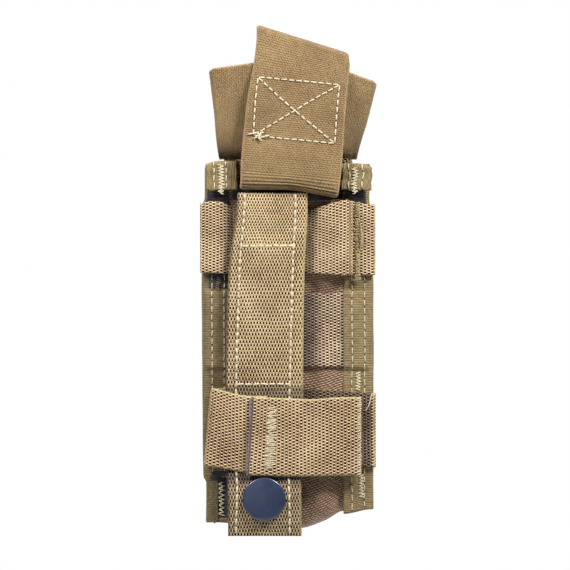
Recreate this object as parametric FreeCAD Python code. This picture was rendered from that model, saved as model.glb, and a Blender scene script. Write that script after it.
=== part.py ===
"""Belt and vest pouch for a tactical flashlight, sewn from nylon cloth, webbing and elastic.

Frame: +Z up along the pouch, +X to the right seen from the back, and the back of the pouch faces -Y.
The origin is on the outer face of the mounting strap, on the pouch's centre plane. Millimetres.
"""

import FreeCAD, Part  # FreeCAD has to come first

import math
import os

V = FreeCAD.Vector

# ---- cloth and webbing stock
CLOTH = 0.9  # coated nylon cloth
TAPE = 0.6  # edge binding tape
WEB = 1.3  # nylon webbing
WEB_W = 25.4  # one inch webbing
ELASTIC = 1.2
ELASTIC_W = 33.8
THREAD = 0.4

# ---- body of the pouch
HALF_W = 29.3  # half the width of the back panel
RIM_Z = 42.7  # top edge of the back panel
FLOOR_Z = -84.0  # lowest point of the body
PANEL_LOW_LEFT, PANEL_LOW_RIGHT = -81.2, -76.8  # the back panel's lower edge slants
FLOOR_R = 8.0  # how the floor rounds into the sides
HEM_Z = 32.4  # raw lower edge of the top hem
PANEL_Y = 5.1  # outer face of the back panel
INNER_Y = PANEL_Y + CLOTH
FRONT_Y = 33.0  # outer face of the front
SEAM_X = 20.5  # where the front leaves the back panel
FRONT_HALF_W = 24.4
FRONT_CORNER_R = 13.0
TAPE_W = 9.8  # width of binding tape seen on the back
HEM_GAP = 0.3

# ---- webbing rows on the back, by their lower edges
ROW_Y = PANEL_Y - TAPE - WEB  # outer face of a row that lies on the binding
UPPER_Z = 3.4
MIDDLE_Z = -28.1
LOWER_Z = -62.4
KEEPER_Z = -64.9
LOOP_LEFT, LOOP_END = -28.0, -4.0

# ---- mounting strap
STRAP_X = -7.3  # its centre line
STRAP_LEFT = STRAP_X - WEB_W / 2
STRAP_RIGHT = STRAP_X + WEB_W / 2
STRAP_TOP = 31.6
STRAP_T = 2.9  # both layers
STRAP_STEP = 0.3  # how far the keeper presses it in
STRAP_BEND = (-34.9, -36.5)
STIFF_T, STIFF_W = 0.5, 17.0
STIFF_Z = (-33.0, 12.5)
STITCH_INSET = 3.6
TAIL_STITCH_INSET = 2.6
TAIL_TOP = KEEPER_Z - 0.3
TAIL_END = -85.7
TAIL_Y = 0.7  # inner face of the tail, held off by the snap

# ---- bar tacks and rows of stitching, by their distance from the centre plane
SIDE_TACK_X = 24.3
FLAP_TACK_X, KEEPER_TACK_X = -5.6, 25.2
BINDING_ROWS = (22.1, 26.5)
BINDING_ROW_END = -75.8

# ---- snap fastener
SNAP_X, SNAP_Z = -8.0, -73.0
CAP_R, CAP_H = 7.4, 1.5
SOCKET_R, SOCKET_BORE, SOCKET_H = 6.2, 4.4, 2.3
HEAD_R, HEAD_H = 2.7, 2.1
FLANGE_R, FLANGE_H = 5.2, 0.5
POST_R = 1.9

# ---- elastic hood
HOOD_TILT = 5.0  # degrees, clockwise from the back
HOOD_TOP = 88.4
HOOD_FRONT_LOW = 53.5  # where the front leg ends above its root
HOOD_Y = -1.0
HOOD_LEAN_Y, HOOD_SHOULDER = 0.6, 79.0  # where the strap's back run turns towards the front
HINGE_Z = RIM_Z + 1.4
SIDE_LOW, SIDE_HIGH = 45.6, 76.0
SIDE_HALF_LOW, SIDE_HALF_HIGH = 24.2, 28.2
SIDE_DEPTH = 22.0
BOX_HALF_W, BOX_HALF_H, BOX_Z = 13.6, 11.0, 59.5  # the box stitch where the two elastics cross
HINGE_GAP = 0.6  # half the gap between the hood and its sewn roots


# ------------------------------------------------------------------ helpers
def rounded_path(points, radii):
    """Straight runs joined by tangent arcs, as ("line", a, b) and ("arc", a, b, centre, radius, turn)."""
    runs, start = [], points[0]
    for i in range(1, len(points) - 1):
        p, q, r = points[i - 1], points[i], points[i + 1]
        a = (q[0] - p[0], q[1] - p[1])
        b = (r[0] - q[0], r[1] - q[1])
        la, lb = math.hypot(*a), math.hypot(*b)
        a, b = (a[0] / la, a[1] / la), (b[0] / lb, b[1] / lb)
        turn = math.atan2(a[0] * b[1] - a[1] * b[0], a[0] * b[0] + a[1] * b[1])
        radius = radii[i - 1]
        cut = radius * math.tan(abs(turn) / 2)
        side = 1 if turn > 0 else -1
        t1 = (q[0] - a[0] * cut, q[1] - a[1] * cut)
        t2 = (q[0] + b[0] * cut, q[1] + b[1] * cut)
        centre = (t1[0] - a[1] * radius * side, t1[1] + a[0] * radius * side)
        runs.append(("line", start, t1))
        runs.append(("arc", t1, t2, centre, radius, turn))
        start = t2
    runs.append(("line", start, points[-1]))
    return runs


def side_edges(runs, offset, lift):
    """The path moved sideways by offset, to its left when positive, as edges."""
    edges = []
    for run in runs:
        if run[0] == "line":
            (x0, y0), (x1, y1) = run[1], run[2]
            length = math.hypot(x1 - x0, y1 - y0)
            if length < 1e-6:
                continue
            nx, ny = -(y1 - y0) / length * offset, (x1 - x0) / length * offset
            edges.append(Part.makeLine(lift(x0 + nx, y0 + ny), lift(x1 + nx, y1 + ny)))
        else:
            _, a, b, c, radius, turn = run
            new = radius - offset if turn > 0 else radius + offset
            first = math.atan2(a[1] - c[1], a[0] - c[0])
            ends = [
                lift(c[0] + new * math.cos(first + turn * s), c[1] + new * math.sin(first + turn * s))
                for s in (0, 0.5, 1)
            ]
            edges.append(Part.Arc(*ends).toShape())
    return edges


def strip_face(points, radii, thickness, lift, shift=0.0):
    """The section of a strip whose middle lies shift to the left of the path."""
    runs = rounded_path(points, radii)
    left = side_edges(runs, shift + thickness / 2, lift)
    right = side_edges(runs, shift - thickness / 2, lift)
    caps = [
        Part.makeLine(left[0].firstVertex(True).Point, right[0].firstVertex(True).Point),
        Part.makeLine(left[-1].lastVertex(True).Point, right[-1].lastVertex(True).Point),
    ]
    wire = Part.Wire(Part.__sortEdges__(left + right + caps))
    return Part.Face(wire)


def strip_along_x(points, radii, thickness, z, width=WEB_W):
    """Webbing that runs across the pouch: a path in (x, y), standing from z to z + width."""
    face = strip_face(points, radii, thickness, lambda x, y: V(x, y, z))
    return face.extrude(V(0, 0, width))


def strip_along_z(points, radii, thickness, x0, x1, shift=0.0):
    """Webbing that runs up the pouch: a path in (y, z), from x0 to x1."""
    face = strip_face(points, radii, thickness, lambda y, z: V(x0, y, z), shift)
    return face.extrude(V(x1 - x0, 0, 0))


def box(x0, x1, y0, y1, z0, z1):
    return Part.makeBox(x1 - x0, y1 - y0, z1 - z0, V(x0, y0, z0))


def disc(x, z, y0, y1, radius):
    """A round plate whose axis is the Y axis."""
    return Part.makeCylinder(radius, y1 - y0, V(x, y0, z), V(0, 1, 0))


def d_block(inset, z0, z1, back_y, floor_r=0.0):
    """The space that the front encloses with the back panel, shrunk by inset."""
    slope = (FRONT_HALF_W - SEAM_X) / (FRONT_Y - INNER_Y)
    seam = SEAM_X - inset + slope * (back_y - INNER_Y)
    half, front = FRONT_HALF_W - inset - slope * inset, FRONT_Y - inset
    points = [(-seam, back_y), (-half, front), (half, front), (seam, back_y)]
    corner = FRONT_CORNER_R - inset
    runs = rounded_path(points, [corner, corner])
    edges = side_edges(runs, 0, lambda x, y: V(x, y, z0))
    edges.append(Part.makeLine(V(seam, back_y, z0), V(-seam, back_y, z0)))
    block = Part.Face(Part.Wire(Part.__sortEdges__(edges))).extrude(V(0, 0, z1 - z0))
    if floor_r == 0.0:
        return block
    floor = [e for e in block.Edges if e.BoundBox.ZMax < z0 + 0.01 and e.BoundBox.YMax > back_y + 0.01]
    return block.makeFillet(floor_r, floor)


def fuse(shapes):
    return shapes[0].multiFuse(shapes[1:]).removeSplitter() if len(shapes) > 1 else shapes[0]


def mirrored(shape):
    return shape.mirror(V(0, 0, 0), V(1, 0, 0))


def below_panel():
    """Everything under the slanting lower edge of the back panel."""
    wide, deep = 2 * HALF_W, 200.0
    run = PANEL_LOW_RIGHT - PANEL_LOW_LEFT
    corners = [
        V(-wide, -deep, PANEL_LOW_LEFT - run / 2),
        V(wide, -deep, PANEL_LOW_RIGHT + run / 2),
        V(wide, -deep, -deep),
        V(-wide, -deep, -deep),
        V(-wide, -deep, PANEL_LOW_LEFT - run / 2),
    ]
    return Part.Face(Part.makePolygon(corners)).extrude(V(0, 2 * deep, 0))


def turned(shape, degrees):
    """Tilted with the hood, about the middle of the rim."""
    copy = shape.copy()
    copy.rotate(V(0, 0, RIM_Z), V(0, 1, 0), degrees)
    return copy


# ------------------------------------------------------------------ cloth body
def back_panel():
    """One sheet, folded outward at the top into a hem."""
    sheet_y = PANEL_Y + CLOTH / 2
    hem_y = PANEL_Y - HEM_GAP - CLOTH / 2
    fold_r = (sheet_y - hem_y) / 2
    path = [(sheet_y, FLOOR_Z), (sheet_y, RIM_Z - CLOTH / 2), (hem_y, RIM_Z - CLOTH / 2), (hem_y, HEM_Z)]
    sheet = strip_along_z(path, [fold_r - 0.01, fold_r - 0.01], CLOTH, -HALF_W, HALF_W)
    return sheet.cut(below_panel()).cut(disc(SNAP_X, SNAP_Z, PANEL_Y - 1, INNER_Y + 1, POST_R))


def front_shell():
    """Front, sides and rounded floor of the pouch, with a seam allowance round the back."""
    behind = box(-HALF_W, HALF_W, -INNER_Y, INNER_Y, 2 * FLOOR_Z, RIM_Z)
    outside = d_block(0, FLOOR_Z, RIM_Z, INNER_Y, FLOOR_R).cut(behind)
    inside = d_block(CLOTH, FLOOR_Z + CLOTH, RIM_Z + 1, INNER_Y - 0.5, FLOOR_R - CLOTH)
    flange = box(SEAM_X - CLOTH, HALF_W, INNER_Y, INNER_Y + CLOTH, FLOOR_Z, RIM_Z)
    flanges = fuse([flange, mirrored(flange)]).cut(below_panel())
    lip = d_block(0, FLOOR_Z, PANEL_LOW_RIGHT + 1, INNER_Y, FLOOR_R)
    lip = lip.common(box(-HALF_W, HALF_W, INNER_Y, INNER_Y + CLOTH, FLOOR_Z - 1, RIM_Z))
    shell = fuse([outside.cut(inside), lip, flanges])
    return shell.cut(disc(SNAP_X, SNAP_Z, INNER_Y, INNER_Y + 2 * CLOTH, FLANGE_R - 0.4))


def mouth_binding():
    """Tape folded over the top edge of the front."""
    low = RIM_Z - TAPE_W
    outer = d_block(-TAPE, low, RIM_Z + TAPE, INNER_Y + CLOTH + TAPE)
    cloth = d_block(0, low - 1, RIM_Z, 0).cut(d_block(CLOTH, low - 2, RIM_Z + 2, 0))
    inside = d_block(CLOTH + TAPE, low - 1, RIM_Z + TAPE + 1, 0)
    return outer.cut(fuse([cloth, inside]))


def side_binding():
    """Tape folded round the seam allowance. It steps over the middle webbing row."""
    inner_x = HALF_W - TAPE_W + TAPE
    edge_x = HALF_W + TAPE
    back = box(inner_x, edge_x, PANEL_Y - TAPE, PANEL_Y, FLOOR_Z, RIM_Z)
    step = box(inner_x, edge_x, PANEL_Y - WEB - TAPE, PANEL_Y, MIDDLE_Z - TAPE, MIDDLE_Z + WEB_W + TAPE)
    row = box(0, HALF_W, PANEL_Y - WEB, PANEL_Y, MIDDLE_Z, MIDDLE_Z + WEB_W)
    under_hem = box(inner_x - 1, edge_x + 1, 0, PANEL_Y, HEM_Z - 0.4, RIM_Z + 1)
    back = fuse([back, step]).cut(fuse([row, under_hem]))
    tab_y = PANEL_Y - HEM_GAP - CLOTH
    tab = box(inner_x, edge_x, tab_y - TAPE, tab_y, HEM_Z, RIM_Z - CLOTH)
    side = box(HALF_W, edge_x, PANEL_Y - TAPE, INNER_Y + CLOTH + TAPE, FLOOR_Z, HEM_Z)
    side_top = box(HALF_W, edge_x, tab_y - TAPE, INNER_Y + CLOTH + TAPE, HEM_Z, RIM_Z - CLOTH)
    front = box(inner_x + 3, edge_x, INNER_Y + CLOTH, INNER_Y + CLOTH + TAPE, FLOOR_Z, RIM_Z - CLOTH)
    return fuse([back, tab, side, side_top, front])


def bottom_trimmed(shape):
    return shape.cut(below_panel())


# ------------------------------------------------------------------ webbing rows
def upper_webbing():
    """Sewn down at both edges, pressed flat by the strap and slack beside it."""
    low_y = ROW_Y + WEB / 2
    path = [
        (-HALF_W, low_y),
        (-26.0, low_y),
        (-23.5, low_y - 1.2),
        (-20.5, low_y),
        (7.5, low_y),
        (17.5, low_y - 4.3),
        (21.0, low_y - 4.3),
        (22.6, low_y),
        (HALF_W, low_y),
    ]
    return strip_along_x(path, [1.2, 1.2, 1.2, 3.0, 1.6, 1.2, 0.7], WEB, UPPER_Z)


def middle_webbing():
    return box(-HALF_W, HALF_W, PANEL_Y - WEB, PANEL_Y, MIDDLE_Z, MIDDLE_Z + WEB_W)


def lower_webbing_loop():
    """Crosses under the strap, folds at the left edge and comes back over the strap."""
    low_y = ROW_Y + WEB / 2
    top_y = STRAP_STEP - 0.1 - WEB / 2
    fold = (low_y - top_y) / 2 - 0.01
    path = [(HALF_W, low_y), (LOOP_LEFT, low_y), (LOOP_LEFT, top_y), (LOOP_END, top_y)]
    return strip_along_x(path, [fold, fold], WEB, LOWER_Z)


def lower_webbing_flap():
    """Lies over the end of the loop and is sewn down at the right edge."""
    loop_y = STRAP_STEP - 0.1 - WEB / 2
    over_y = loop_y - WEB - 0.1
    end_y = ROW_Y - WEB / 2 - 0.05
    path = [(-13.0, over_y), (-3.4, over_y), (0.6, loop_y), (8.0, loop_y), (19.0, end_y), (26.4, end_y)]
    return strip_along_x(path, [1.5, 1.5, 6.0, 4.0], WEB, KEEPER_Z)


# ------------------------------------------------------------------ mounting strap
def strap_layer(y0, y1):
    """The part of one layer above the keeper. It is pressed in where the keeper crosses it."""
    high, low = STRAP_BEND
    path = [(0, STRAP_TOP), (0, high), (STRAP_STEP, low), (STRAP_STEP, KEEPER_Z)]
    return strip_along_z(path, [4.0, 4.0], y1 - y0, STRAP_LEFT, STRAP_RIGHT, shift=(y0 + y1) / 2)


def stiffener_box():
    x = STRAP_X - STIFF_W / 2
    return box(x, x + STIFF_W, WEB, WEB + STIFF_T, *STIFF_Z)


def strap_stitches():
    """Two long rows and two short ones that close the stiffener's pocket, let into the face."""
    left, right = STRAP_LEFT + STITCH_INSET, STRAP_RIGHT - STITCH_INSET
    low = STIFF_Z[0] - 1.0 - THREAD
    bars = [box(x - THREAD, x + THREAD, 0, THREAD, low, STRAP_TOP - 0.6) for x in (left, right)]
    for z in (STIFF_Z[0] - 1.0, STIFF_Z[1] + 1.0):
        bars.append(box(left, right, 0, THREAD, z - THREAD, z + THREAD))
    return fuse(bars)


def tail_stitches():
    face = TAIL_Y - 2 * WEB
    bars = []
    for x in (STRAP_LEFT + TAIL_STITCH_INSET, STRAP_RIGHT - TAIL_STITCH_INSET):
        bars.append(box(x - THREAD, x + THREAD, face, face + THREAD, TAIL_END + 1, TAIL_TOP - 0.5))
    return Part.makeCompound(bars)


def strap_outer():
    return strap_layer(0, WEB).cut(strap_stitches())


def strap_inner():
    return strap_layer(WEB, STRAP_T).cut(stiffener_box())


def tail_layer(index):
    """index 0 is the inner layer of the tail and 1 the outer one."""
    y1 = TAIL_Y - index * WEB
    layer = box(STRAP_LEFT, STRAP_RIGHT, y1 - WEB, y1, TAIL_END, TAIL_TOP)
    return layer.cut(disc(SNAP_X, SNAP_Z, y1 - WEB - 1, y1 + 1, POST_R))


# ------------------------------------------------------------------ snap fastener
def snap_cap():
    """Domed cap with its post through both layers of the tail."""
    face = TAIL_Y - 2 * WEB
    rim = 0.5
    dome_r = (CAP_R**2 + (CAP_H - rim) ** 2) / (2 * (CAP_H - rim))
    ball = Part.makeSphere(dome_r, V(SNAP_X, face - CAP_H + dome_r, SNAP_Z))
    cap = disc(SNAP_X, SNAP_Z, face - CAP_H, face, CAP_R).common(ball)
    post = disc(SNAP_X, SNAP_Z, face, TAIL_Y + 0.4, POST_R)
    return cap.fuse(post).removeSplitter()


def snap_socket():
    body = disc(SNAP_X, SNAP_Z, TAIL_Y, TAIL_Y + SOCKET_H, SOCKET_R)
    bore = disc(SNAP_X, SNAP_Z, TAIL_Y + 0.4, TAIL_Y + SOCKET_H + 1, SOCKET_BORE)
    hole = disc(SNAP_X, SNAP_Z, TAIL_Y - 1, TAIL_Y + 1, POST_R)
    groove = disc(SNAP_X, SNAP_Z, TAIL_Y + 0.8, TAIL_Y + 1.5, SOCKET_BORE + 0.7)
    return body.cut(fuse([bore, hole, groove]))


def snap_spring():
    """Split ring of wire in the socket's groove."""
    ring = Part.makeTorus(SOCKET_BORE + 0.35, 0.3, V(SNAP_X, TAIL_Y + 1.15, SNAP_Z), V(0, 1, 0))
    gap = box(SNAP_X - 0.8, SNAP_X + 0.8, TAIL_Y, TAIL_Y + 2, SNAP_Z, SNAP_Z + 8)
    return ring.cut(gap)


def snap_stud():
    patch_y = PANEL_Y - WEB
    flange = disc(SNAP_X, SNAP_Z, patch_y - FLANGE_H, patch_y, FLANGE_R)
    neck_y = patch_y - FLANGE_H
    stem = disc(SNAP_X, SNAP_Z, neck_y - HEAD_H / 2, neck_y, HEAD_R)
    dome = Part.makeCone(HEAD_R, 1.5, HEAD_H / 2, V(SNAP_X, neck_y - HEAD_H / 2, SNAP_Z), V(0, -1, 0))
    bore = disc(SNAP_X, SNAP_Z, patch_y - 1.2, patch_y, POST_R - 0.5)
    return fuse([flange, stem, dome]).cut(bore)


def snap_post():
    """Eyelet whose tube goes through the panel and the patch into the stud."""
    flange = disc(SNAP_X, SNAP_Z, INNER_Y, INNER_Y + 0.5, FLANGE_R - 0.6)
    tube = disc(SNAP_X, SNAP_Z, PANEL_Y - WEB, INNER_Y, POST_R)
    stem = disc(SNAP_X, SNAP_Z, PANEL_Y - WEB - 1.1, PANEL_Y - WEB, POST_R - 0.5)
    return fuse([flange, tube, stem])


def stud_patch():
    """Webbing that carries the stud, sewn to the back panel."""
    patch = box(STRAP_LEFT + 1, STRAP_RIGHT - 1, PANEL_Y - WEB, PANEL_Y, SNAP_Z - 5.5, KEEPER_Z - 0.2)
    return patch.cut(disc(SNAP_X, SNAP_Z, 0, PANEL_Y + 1, POST_R))


# ------------------------------------------------------------------ elastic hood
def hood_strap():
    """Runs up the back, over the top and down the front."""
    path = [
        (HOOD_Y, HINGE_Z + HINGE_GAP),
        (HOOD_LEAN_Y, HOOD_SHOULDER),
        (5.0, HOOD_TOP),
        (14.5, HOOD_TOP),
        (28.4, HOOD_FRONT_LOW),
    ]
    half = ELASTIC_W / 2
    return turned(strip_along_z(path, [14.0, 4.0, 4.5], ELASTIC, -half, half), HOOD_TILT)


def side_section(half, z):
    """One level of the band that wraps round the back of the hood."""
    path = [(-half + 3.0, SIDE_DEPTH), (-half, 12.0), (-half + 1.6, 2.5), (half - 1.6, 2.5), (half, 12.0)]
    path.append((half - 3.0, SIDE_DEPTH))
    return strip_face(path, [6.0, 4.0, 4.0, 6.0], ELASTIC, lambda x, y: V(x, y, z)).OuterWire


def hood_side_band():
    low = side_section(SIDE_HALF_LOW, SIDE_LOW)
    high = side_section(SIDE_HALF_HIGH, SIDE_HIGH)
    return turned(Part.makeLoft([low, high], True, True), HOOD_TILT)


def hood_strap_root_back():
    """Sewn flat to the hem, then folded up at its lower edge."""
    sewn_y = PANEL_Y - HEM_GAP - CLOTH - ELASTIC / 2 - 0.05
    fold = (sewn_y - HOOD_Y) / 2 - 0.01
    path = [(sewn_y, 40.5), (sewn_y, HEM_Z + 0.2), (HOOD_Y, HEM_Z + 0.2), (HOOD_Y, HINGE_Z + 4.0)]
    half = ELASTIC_W / 2
    root = strip_along_z(path, [fold, fold], ELASTIC, -half, half)
    above = box(-HALF_W, HALF_W, HOOD_Y - 5, HOOD_Y + 5, HINGE_Z - HINGE_GAP, HINGE_Z + 20)
    return root.cut(turned(above, HOOD_TILT))


def mouth_lining(z0, z1):
    """A layer of elastic lying just inside the bound edge of the mouth."""
    gap = CLOTH + TAPE + 0.25
    outside = d_block(gap, z0, z1, INNER_Y + 1)
    return outside.cut(d_block(gap + ELASTIC, z0 - 1, z1 + 1, INNER_Y))


def hood_strap_root_front():
    """Sewn inside the front wall."""
    half = ELASTIC_W / 2
    wall = mouth_lining(RIM_Z - 9.0, RIM_Z + 0.8)
    return wall.common(box(-half, half, FRONT_Y / 2, FRONT_Y, 0, 2 * RIM_Z))


def hood_side_root():
    """Sewn inside one side wall, just below the rim."""
    wall = mouth_lining(RIM_Z - 9.0, RIM_Z + 0.8)
    return wall.common(box(0, HALF_W, INNER_Y + 2.4, INNER_Y + 12.0, 0, 2 * RIM_Z))


def hood_box_stitch():
    """A square of thread with both diagonals, through the crossing of the two elastics."""
    half_w, half_h, centre_z = BOX_HALF_W, BOX_HALF_H, BOX_Z
    y0, y1 = -2.1, -1.75
    slope = (HOOD_LEAN_Y - HOOD_Y) / (HOOD_SHOULDER - HINGE_Z)
    diagonal = math.hypot(half_w, half_h)
    angle = math.degrees(math.atan2(half_h, half_w))
    bars = [box(-half_w, half_w, y0, y1, z - THREAD, z + THREAD) for z in (-half_h, half_h)]
    bars += [box(x - THREAD, x + THREAD, y0, y1, -half_h, half_h) for x in (-half_w, half_w)]
    for sign in (-1, 1):
        bar = box(-diagonal, diagonal, y0, y1, -THREAD, THREAD)
        bar.rotate(V(0, 0, 0), V(0, 1, 0), sign * angle)
        bars.append(bar)
    frame = fuse(bars)
    frame.rotate(V(0, 0, 0), V(1, 0, 0), -math.degrees(math.atan(slope)))
    frame.translate(V(0, slope * (centre_z - RIM_Z), centre_z))
    return turned(frame, HOOD_TILT)


# ------------------------------------------------------------------ thread
def bartack(x, y_face, z0, z1, half_w=0.9):
    """A dense bar of zigzag stitches standing on a face."""
    return box(x - half_w, x + half_w, y_face - THREAD, y_face, z0, z1)


def upper_right_bartack():
    return bartack(SIDE_TACK_X, ROW_Y, UPPER_Z - 1.5, UPPER_Z + WEB_W + 1.0)


def upper_left_bartack():
    return bartack(-SIDE_TACK_X, PANEL_Y - TAPE, UPPER_Z - 5.5, UPPER_Z - 0.1)


def lower_bartack():
    face = ROW_Y - WEB - 0.05
    return bartack(KEEPER_TACK_X, face, KEEPER_Z + 0.6, KEEPER_Z + WEB_W - 0.6)


def flap_bartack():
    face = STRAP_STEP - 0.1 - 2 * WEB - 0.1
    return bartack(FLAP_TACK_X, face, KEEPER_Z + 1.8, KEEPER_Z + WEB_W - 2.6, 1.4)


def hem_bartacks():
    face = PANEL_Y - HEM_GAP - CLOTH - TAPE
    sides = (-SIDE_TACK_X, SIDE_TACK_X)
    return Part.makeCompound([bartack(x, face, HEM_Z + 0.6, RIM_Z - 1.8) for x in sides])


def binding_stitches(side):
    """Two rows of lock stitch down one side binding, between the webbing rows."""
    spans = [(BINDING_ROW_END, LOWER_Z - 3.0, 0), (MIDDLE_Z + 0.6, MIDDLE_Z + WEB_W - 0.6, WEB)]
    bars = []
    for z0, z1, lift in spans:
        face = PANEL_Y - TAPE - lift
        for x in (side * row for row in BINDING_ROWS):
            bars.append(box(x - THREAD / 2, x + THREAD / 2, face - 0.25, face, z0, z1))
    return Part.makeCompound(bars)


def main():
    os.makedirs("parts", exist_ok=True)
    side_root = hood_side_root()
    nodes = {
        "back_panel": back_panel(),
        "front_shell": front_shell(),
        "mouth_binding": mouth_binding(),
        "side_binding_right": bottom_trimmed(side_binding()),
        "side_binding_left": bottom_trimmed(mirrored(side_binding())),
        "upper_webbing": upper_webbing(),
        "middle_webbing": middle_webbing(),
        "lower_webbing_loop": lower_webbing_loop(),
        "lower_webbing_flap": lower_webbing_flap(),
        "strap_outer": strap_outer(),
        "strap_inner": strap_inner(),
        "strap_stiffener": stiffener_box(),
        "strap_stitching": strap_stitches(),
        "tail_inner": tail_layer(0),
        "tail_outer": tail_layer(1).cut(tail_stitches()),
        "tail_stitching": tail_stitches(),
        "snap_cap": snap_cap(),
        "snap_socket": snap_socket(),
        "snap_spring": snap_spring(),
        "snap_stud": snap_stud(),
        "snap_post": snap_post(),
        "stud_patch": stud_patch(),
        "hood_strap": hood_strap(),
        "hood_side_band": hood_side_band(),
        "hood_strap_root_back": hood_strap_root_back(),
        "hood_strap_root_front": hood_strap_root_front(),
        "hood_side_root_right": side_root,
        "hood_side_root_left": mirrored(side_root),
        "hood_box_stitch": hood_box_stitch(),
        "upper_bartack_right": upper_right_bartack(),
        "upper_bartack_left": upper_left_bartack(),
        "lower_bartack": lower_bartack(),
        "flap_bartack": flap_bartack(),
        "hem_bartacks": hem_bartacks(),
        "binding_stitching_right": binding_stitches(1),
        "binding_stitching_left": binding_stitches(-1),
    }
    for name, shape in nodes.items():
        if not shape.isValid():
            print("not valid:", name)
        shape.exportStep(f"parts/{name}.step")
    print(len(nodes), "nodes")


main()
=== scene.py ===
"""The back of an empty flashlight pouch: nylon cloth, webbing, elastic hood, strap with a snap."""
import math

import bmesh
import bpy
import numpy as np
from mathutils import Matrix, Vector, noise


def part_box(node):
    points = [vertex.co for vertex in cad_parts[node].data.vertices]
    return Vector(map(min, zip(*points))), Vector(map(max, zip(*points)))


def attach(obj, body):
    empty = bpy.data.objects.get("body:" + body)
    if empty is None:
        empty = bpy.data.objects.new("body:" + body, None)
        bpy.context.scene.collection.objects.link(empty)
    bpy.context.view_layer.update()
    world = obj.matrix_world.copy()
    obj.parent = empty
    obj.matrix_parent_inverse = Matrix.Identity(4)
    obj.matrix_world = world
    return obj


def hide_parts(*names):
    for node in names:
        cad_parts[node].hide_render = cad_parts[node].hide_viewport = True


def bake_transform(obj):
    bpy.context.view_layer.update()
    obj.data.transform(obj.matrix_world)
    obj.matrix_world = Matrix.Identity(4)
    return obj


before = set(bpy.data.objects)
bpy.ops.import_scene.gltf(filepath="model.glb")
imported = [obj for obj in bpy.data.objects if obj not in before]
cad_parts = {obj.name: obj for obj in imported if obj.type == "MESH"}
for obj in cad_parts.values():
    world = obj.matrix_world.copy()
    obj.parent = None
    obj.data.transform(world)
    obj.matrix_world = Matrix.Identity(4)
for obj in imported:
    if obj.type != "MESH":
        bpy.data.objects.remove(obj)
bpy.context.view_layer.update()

MM = 0.001


# ---- sizes, millimetres
def mm_box(node):
    """The lowest and highest corner of a CAD node."""
    low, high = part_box(node)
    return np.array(low) / MM, np.array(high) / MM


HALF_W, _, RIM_Z = mm_box("back_panel")[1]
STRAP_TOP = mm_box("strap_outer")[1][2]
TAIL_END = mm_box("tail_outer")[0][2]
UPPER_LOW_Z = mm_box("upper_webbing")[0][2]
MIDDLE_LOW_Z, MIDDLE_HIGH_Z = (corner[2] for corner in mm_box("middle_webbing"))
SHELL_LOW_Z = mm_box("front_shell")[0][2]

CLOTH, TAPE, HEM, WEB, ELASTIC = 0.9, 0.6, 0.9, 1.3, 1.2  # thicknesses
WEB_HALF = 12.7
ACROSS = -WEB_HALF, WEB_HALF
HEM_Z = 32.4
PANEL_Y = 5.1
TAPE_Y = PANEL_Y - TAPE
BINDING_IN = {-1: 20.3, 1: 18.95}  # inner edge of each side's tape
SIDE_INSET = {
    -1: [(-81, 1.8), (-67.5, 1.8), (-65.5, 0.9), (0, 0.3), (26, 0.0), (30, 1.3), (42, 1.5)],
    1: [(-81, 0.6), (24, 0.6), (29, 2.0), (34, 1.9), (42, 1.2)],
}
WEAVE_LONG, WEAVE_ACROSS = 2.53, 1.02  # the webbing's repeat, along and across
WEAVE_STEP = 0.31, 0.255  # mesh steps that follow each float
WEAVE_RELIEF = 0.42
HOOD_HALF = 16.8
SEED = 7
RNG = np.random.default_rng(SEED)


# ---- small maths
def smooth(x, low, high):
    """0 below low, 1 above high, easing between."""
    k = np.clip((np.asarray(x, float) - low) / (high - low), 0, 1)
    return k * k * (3 - 2 * k)


def bump(x, centre, width):
    return np.exp(-(((np.asarray(x, float) - centre) / width) ** 2))


def curve(x, points):
    """A smooth line through (x, y) points, level beyond the ends."""
    xs, ys = np.array(points, float).T
    step, rise = np.diff(xs), np.diff(ys)
    slope = rise / step
    tangent = np.zeros(len(xs))
    same = slope[:-1] * slope[1:] > 0
    tangent[1:-1] = np.where(same, 2 * slope[:-1] * slope[1:] / (slope[:-1] + slope[1:] + 1e-12), 0)
    x = np.clip(np.asarray(x, float), xs[0], xs[-1])
    i = np.clip(np.searchsorted(xs, x, side="right") - 1, 0, len(step) - 1)
    h = step[i]
    k = (x - xs[i]) / h
    return (
        (1 + 2 * k) * (1 - k) ** 2 * ys[i]
        + k * (1 - k) ** 2 * h * tangent[i]
        + k * k * (3 - 2 * k) * ys[i + 1]
        + k * k * (k - 1) * h * tangent[i + 1]
    )


def ripple(x, z, pitch, seed):
    """Gentle uneven waves, about -1 to 1, the same every run."""
    x, z = np.broadcast_arrays(np.asarray(x, float) / pitch, np.asarray(z, float) / pitch)
    flat = [noise.noise(Vector((a, b, seed))) for a, b in zip(x.ravel(), z.ravel())]
    return np.array(flat).reshape(x.shape) * 1.6


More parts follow.
